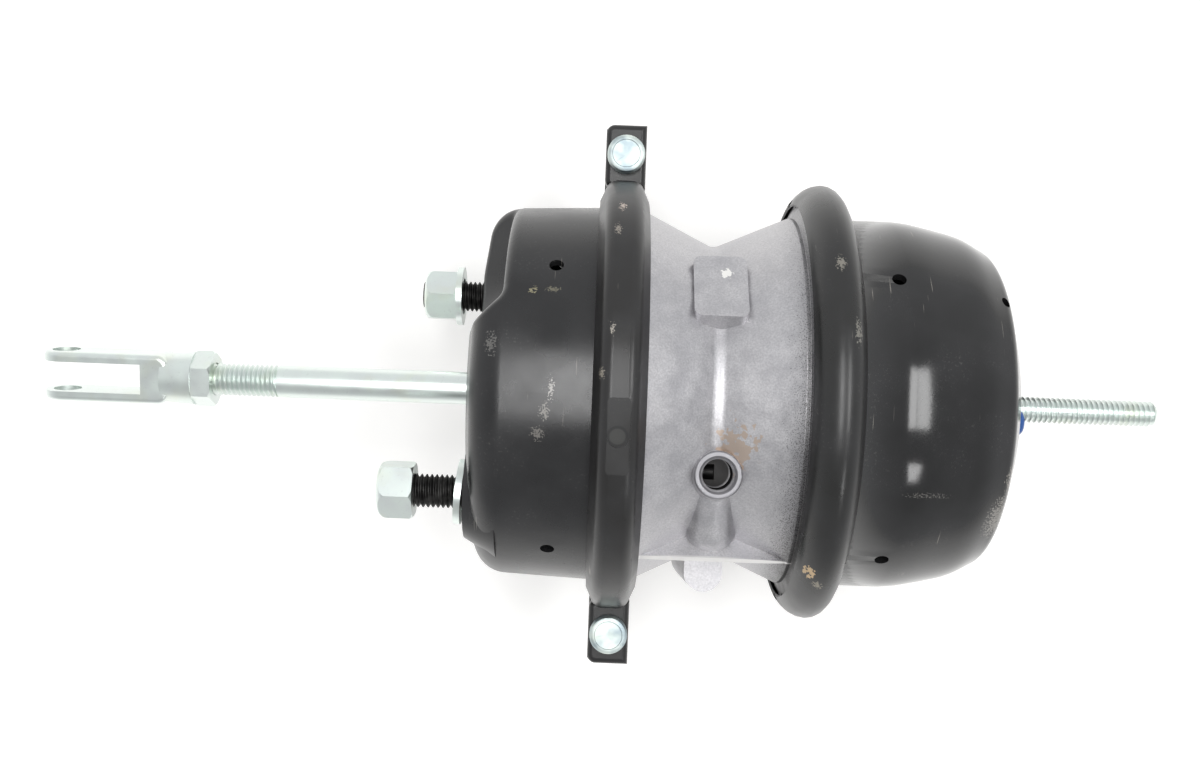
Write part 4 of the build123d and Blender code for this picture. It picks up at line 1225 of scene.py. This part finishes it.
@dataclass
class Studio:
    """Pale floor, soft light and the camera over the part.

    Attributes:
        floor_z: Height of the floor in millimetres.
        floor_half: Half of the floor's side in metres.
        floor_glow: Light that the floor gives off to the camera and to reflections.
        aim: What the lamps look at and the floor lies under, in metres.
        boxes: The lamps.
        sky_up: Direction in which the sky is dimmest.
        sky_limits: Shares of that direction where the dimming begins and ends.
        sky_levels: Strength of the sky at those limits.
        camera_place: Where the camera hangs, in millimetres.
        sensor: Width of its sensor in millimetres.
        focal_pixels: Its focal length in pixels of a frame IMAGE_WIDTH wide.
        roll: Its turn about its axis in radians.
    """

    floor_z: float = -105.2
    floor_half: float = 3.0
    floor_glow: float = 0.30
    aim: Point = (0.06, 0.0, 0.0)
    boxes: tuple[SoftBox, ...] = (
        SoftBox("ceiling_box", (-0.05, 0.07, 1.10), (0.20, 0.72), 4.6),
        SoftBox("tall_window", (0.54, 0.08, 1.05), (0.20, 0.66), 4.0),
        SoftBox("small_window", (0.54, -0.82, 1.00), (0.16, 0.24), 1.2),
    )
    sky_up: Point = (0.0, -0.50, 0.866)
    sky_limits: tuple[float, float] = (0.15, 0.95)
    sky_levels: tuple[float, float] = (0.98, 0.52)
    camera_place: Point = (59.6, 3.9, 634.0)
    sensor: float = 36.0
    focal_pixels: float = 1293.0
    roll: float = 0.038

    def floor(self) -> None:
        """Lay the floor, which is pale to the camera and keeps the part's shadow."""
        mesh = bmesh.new()
        bmesh.ops.create_grid(mesh, x_segments=2, y_segments=2, size=self.floor_half)
        bmesh.ops.translate(mesh, vec=(self.aim[0], 0, self.floor_z * MM), verts=mesh.verts[:])
        floor = placed(mesh, "floor")
        material = bpy.data.materials.new("floor_card")
        tree = cleared(material)
        card = add_node(tree, "BsdfDiffuse", {"Color": linear("#f0efed")})
        rays = add_node(tree, "LightPath").outputs
        looks = {0: rays["Is Camera Ray"], 1: rays["Is Glossy Ray"]}
        seen = add_node(tree, "Math", looks, operation="MAXIMUM").outputs[0]
        dimmed = {0: seen, 1: self.floor_glow}
        strength = add_node(tree, "Math", dimmed, operation="MULTIPLY").outputs[0]
        glow = add_node(tree, "Emission", {"Color": linear("#fffefc"), "Strength": strength})
        both = add_node(tree, "AddShader", {0: card.outputs["BSDF"], 1: glow.outputs["Emission"]})
        add_node(tree, "OutputMaterial", {"Surface": both.outputs["Shader"]})
        floor.data.materials.append(material)

    def sky(self) -> None:
        """Set the world's soft light, which is brightest low down and dims overhead."""
        world = bpy.data.worlds.new("studio_world")
        tree = cleared(world)
        toward = add_node(tree, "TexCoord").outputs["Generated"]
        up = {0: toward, 1: self.sky_up}
        height = add_node(tree, "VectorMath", up, operation="DOT_PRODUCT").outputs["Value"]
        steps = dict(enumerate((height, *self.sky_limits, *self.sky_levels)))
        level = add_node(tree, "MapRange", steps, clamp=True).outputs["Result"]
        light = add_node(tree, "Background", {"Color": linear("#f4f5f7"), "Strength": level})
        add_node(tree, "OutputWorld", {"Surface": light.outputs["Background"]})
        bpy.context.scene.world = world

    def camera(self) -> None:
        """Hang the camera straight over the part."""
        data = bpy.data.cameras.new("over_the_part")
        data.sensor_width = self.sensor
        data.lens = self.sensor * self.focal_pixels / IMAGE_WIDTH
        camera = bpy.data.objects.new("over_the_part", data)
        camera.location = tuple(c * MM for c in self.camera_place)
        camera.rotation_euler = (0.0, 0.0, self.roll)
        bpy.context.scene.collection.objects.link(camera)
        bpy.context.scene.camera = camera

    def build(self) -> None:
        """Set the floor, the lamps, the world and the camera."""
        bpy.context.scene.view_settings.view_transform = "Standard"
        self.floor()
        for box in self.boxes:
            box.hang(self.aim)
        self.sky()
        self.camera()


# -------------------- the part

HOUSING_MARKS = (
    Mark((39.0, 2.0, 88.0), (1.8, 7.0, 6.0), "#8f8c88", 0.66, 0.8),
    Mark((36.5, -8.0, 88.0), (3.0, 5.0, 6.0), "#77746f", 0.60, 0.7),
    Mark((34.0, -17.0, 86.0), (4.0, 4.5, 6.0), "#65625e", 0.60, 0.7),
    Mark((29.5, 44.0, 76.0), (3.0, 2.2, 5.0), "#7b765f", 0.72, 1.4),
    Mark((38.0, 44.5, 76.0), (4.5, 2.0, 5.0), "#5f5c4f", 0.66, 1.2),
    Mark((13.0, 20.0, 82.0), (4.0, 8.0, 9.0), "#5c5b59", 0.58, 0.9),
)
HEAD_MARKS = (
    Mark((238.0, -46.0, 57.0), (9.0, 15.0, 14.0), "#77746f", 0.74, 0.8),
    Mark((242.0, -30.0, 64.0), (6.0, 9.0, 12.0), "#8f8a82", 0.66, 0.7),
    Mark((200.0, -38.0, 77.0), (14.0, 2.0, 5.0), "#5a5855", 0.60, 0.6),
)
# the last two paint the band's dimple: its rim as a dark ring of painted shade, and its floor in a
# grey a little lighter than the paint
BAND_MARKS_AND_PAINTED_SHADE = (
    Mark((66.5, 83.7, 60.8), (2.6, 4.0, 5.0), "#a79a90", 0.60, 1.0),
    Mark((65.0, 72.0, 74.0), (2.0, 5.0, 5.0), "#7d776f", 0.62, 0.8),
    Mark((64.0, 28.0, 100.0), (1.6, 4.0, 5.0), "#8f8a82", 0.58, 0.8),
    Mark((60.0, 9.0, 101.0), (2.0, 3.4, 5.0), "#807a70", 0.60, 0.8),
    # painted shade: the dark ring round the dimple's floor
    Mark((67.6, -17.0, 100.8), (4.9, 4.9, 4.0), "#060606", 1.20, 3.0),
    Mark((67.6, -17.0, 100.8), (3.6, 3.6, 3.6), "#2b2b29", 1.20, 3.0),
)
RING_MARKS = (
    Mark((153.0, -75.0, 72.0), (3.6, 4.4, 7.0), "#b39a76", 0.97, 2.2),
    Mark((158.0, -80.0, 66.0), (3.0, 4.0, 5.0), "#7b7568", 0.60, 0.9),
    Mark((160.0, 60.0, 86.0), (3.0, 5.0, 8.0), "#77746c", 0.58, 0.9),
    Mark((166.0, 30.0, 98.0), (2.4, 8.0, 6.0), "#6c6a64", 0.56, 0.8),
)
# a dab on the pad, a stain, a painted highlight along the fin's crest, painted shade over the
# port's rim to dim its reflection, and painted shade in its bore
CASE_MARKS_AND_PAINTED_LIGHT = (
    Mark((114.4, 55.9, 57.7), (3.4, 3.0, 4.0), "#f4f3ef", 0.98, 2.0),
    Mark((119.0, -20.0, 73.0), (14.0, 17.0, 14.0), "#b9aa9e", 0.62, 4.0),
    # painted highlight: the fin's crest is painted bright
    Mark((108.0, -73.0, 49.2), (44.0, 2.2, 2.4), "#d9d8d7", 1.20, 3.0),
    # painted shade: the port's rim is painted darker to dim its reflection
    Mark((112.3, -33.0, 75.0), (13.4, 13.4, 3.0), "#8b8a8d", 1.20, 3.0),
    # painted shade: the port's bore is painted dark
    Mark((112.3, -33.0, 60.0), (8.8, 8.8, 15.0), "#3b3a3a", 1.20, 3.0),
)


def finishes() -> dict[Slot, bpy.types.Material]:
    """Build the finish of every slot.

    Returns:
        The material of each slot.
    """
    makers = {
        Slot.BLACK_PAINT: PressedPaint("gloss_black_dip_paint", "#19191a", 0.24),
        Slot.ALUMINIUM: CastAluminium("die_cast_aluminium", "#b8b7ba", 0.40, 0.85, CASE_MARKS_AND_PAINTED_LIGHT),
        Slot.ZINC: ZincPlate("bright_zinc_plate", "#e0e7e4", 0.30, 1.0),
        Slot.BLACK_STEEL: RawSteel("black_oxide_steel", "#1b1a19", 0.46, 0.6),
        Slot.INNER_STEEL: RawSteel(
            "phosphated_steel", "#4a4a4b", 0.48, 0.8, worn="#77767a", grit=0.9
        ),
        Slot.DIAPHRAGM: MouldedRubber("fabric_backed_rubber", "#232221", 0.72, weave=1.6),
        Slot.SEAL: MouldedRubber("nitrile_rubber", "#1d1c1c", 0.55),
        Slot.NYLON: MouldedPlastic("natural_nylon", "#e4e0d2", 0.42),
        Slot.BLUE: MouldedPlastic("blue_polyethylene", "#1d4f93", 0.36),
    }
    return {slot: maker.material() for slot, maker in makers.items()}


def node_slots() -> dict[str, Slot]:
    """Read each CAD node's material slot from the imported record.

    Returns:
        The slot of each node.
    """
    return {part["node"]: Slot(part["material_slot"]) for part in frame["record"]["subparts"]}


def main() -> None:
    """Dress the CAD nodes, build the detailed pieces, light them and place the camera."""
    logging.basicConfig(level=logging.INFO, format="%(name)s %(message)s")
    shop = Workshop(finishes())
    slots = node_slots()
    for node in frame["nodes"]:
        shop.dress(node, slots[node])
    housing = PressedPaint("service_housing_paint", "#19191a", 0.24, marks=HOUSING_MARKS)
    shop.dress("service_housing", Slot.BLACK_PAINT, housing.material())
    band = PressedPaint("clamp_band_paint", "#1c1b1a", 0.27, marks=BAND_MARKS_AND_PAINTED_SHADE).material()
    for node in ("clamp_half_near", "clamp_half_far"):
        shop.dress(node, Slot.BLACK_PAINT, band)
    for piece in (
        CrimpedRing(),
        FlangeCase(),
        SpringHousing(),
        StudSet(),
        ClampBolts(),
        CagingBolt(),
        PushRod(),
        PortThreads(),
        ReturnSpring(),
        ServiceDiaphragm(),
    ):
        LOG.info("building %s", type(piece).__name__)
        piece.build(shop)
    Studio().build()


if __name__ == "__main__":
    main()
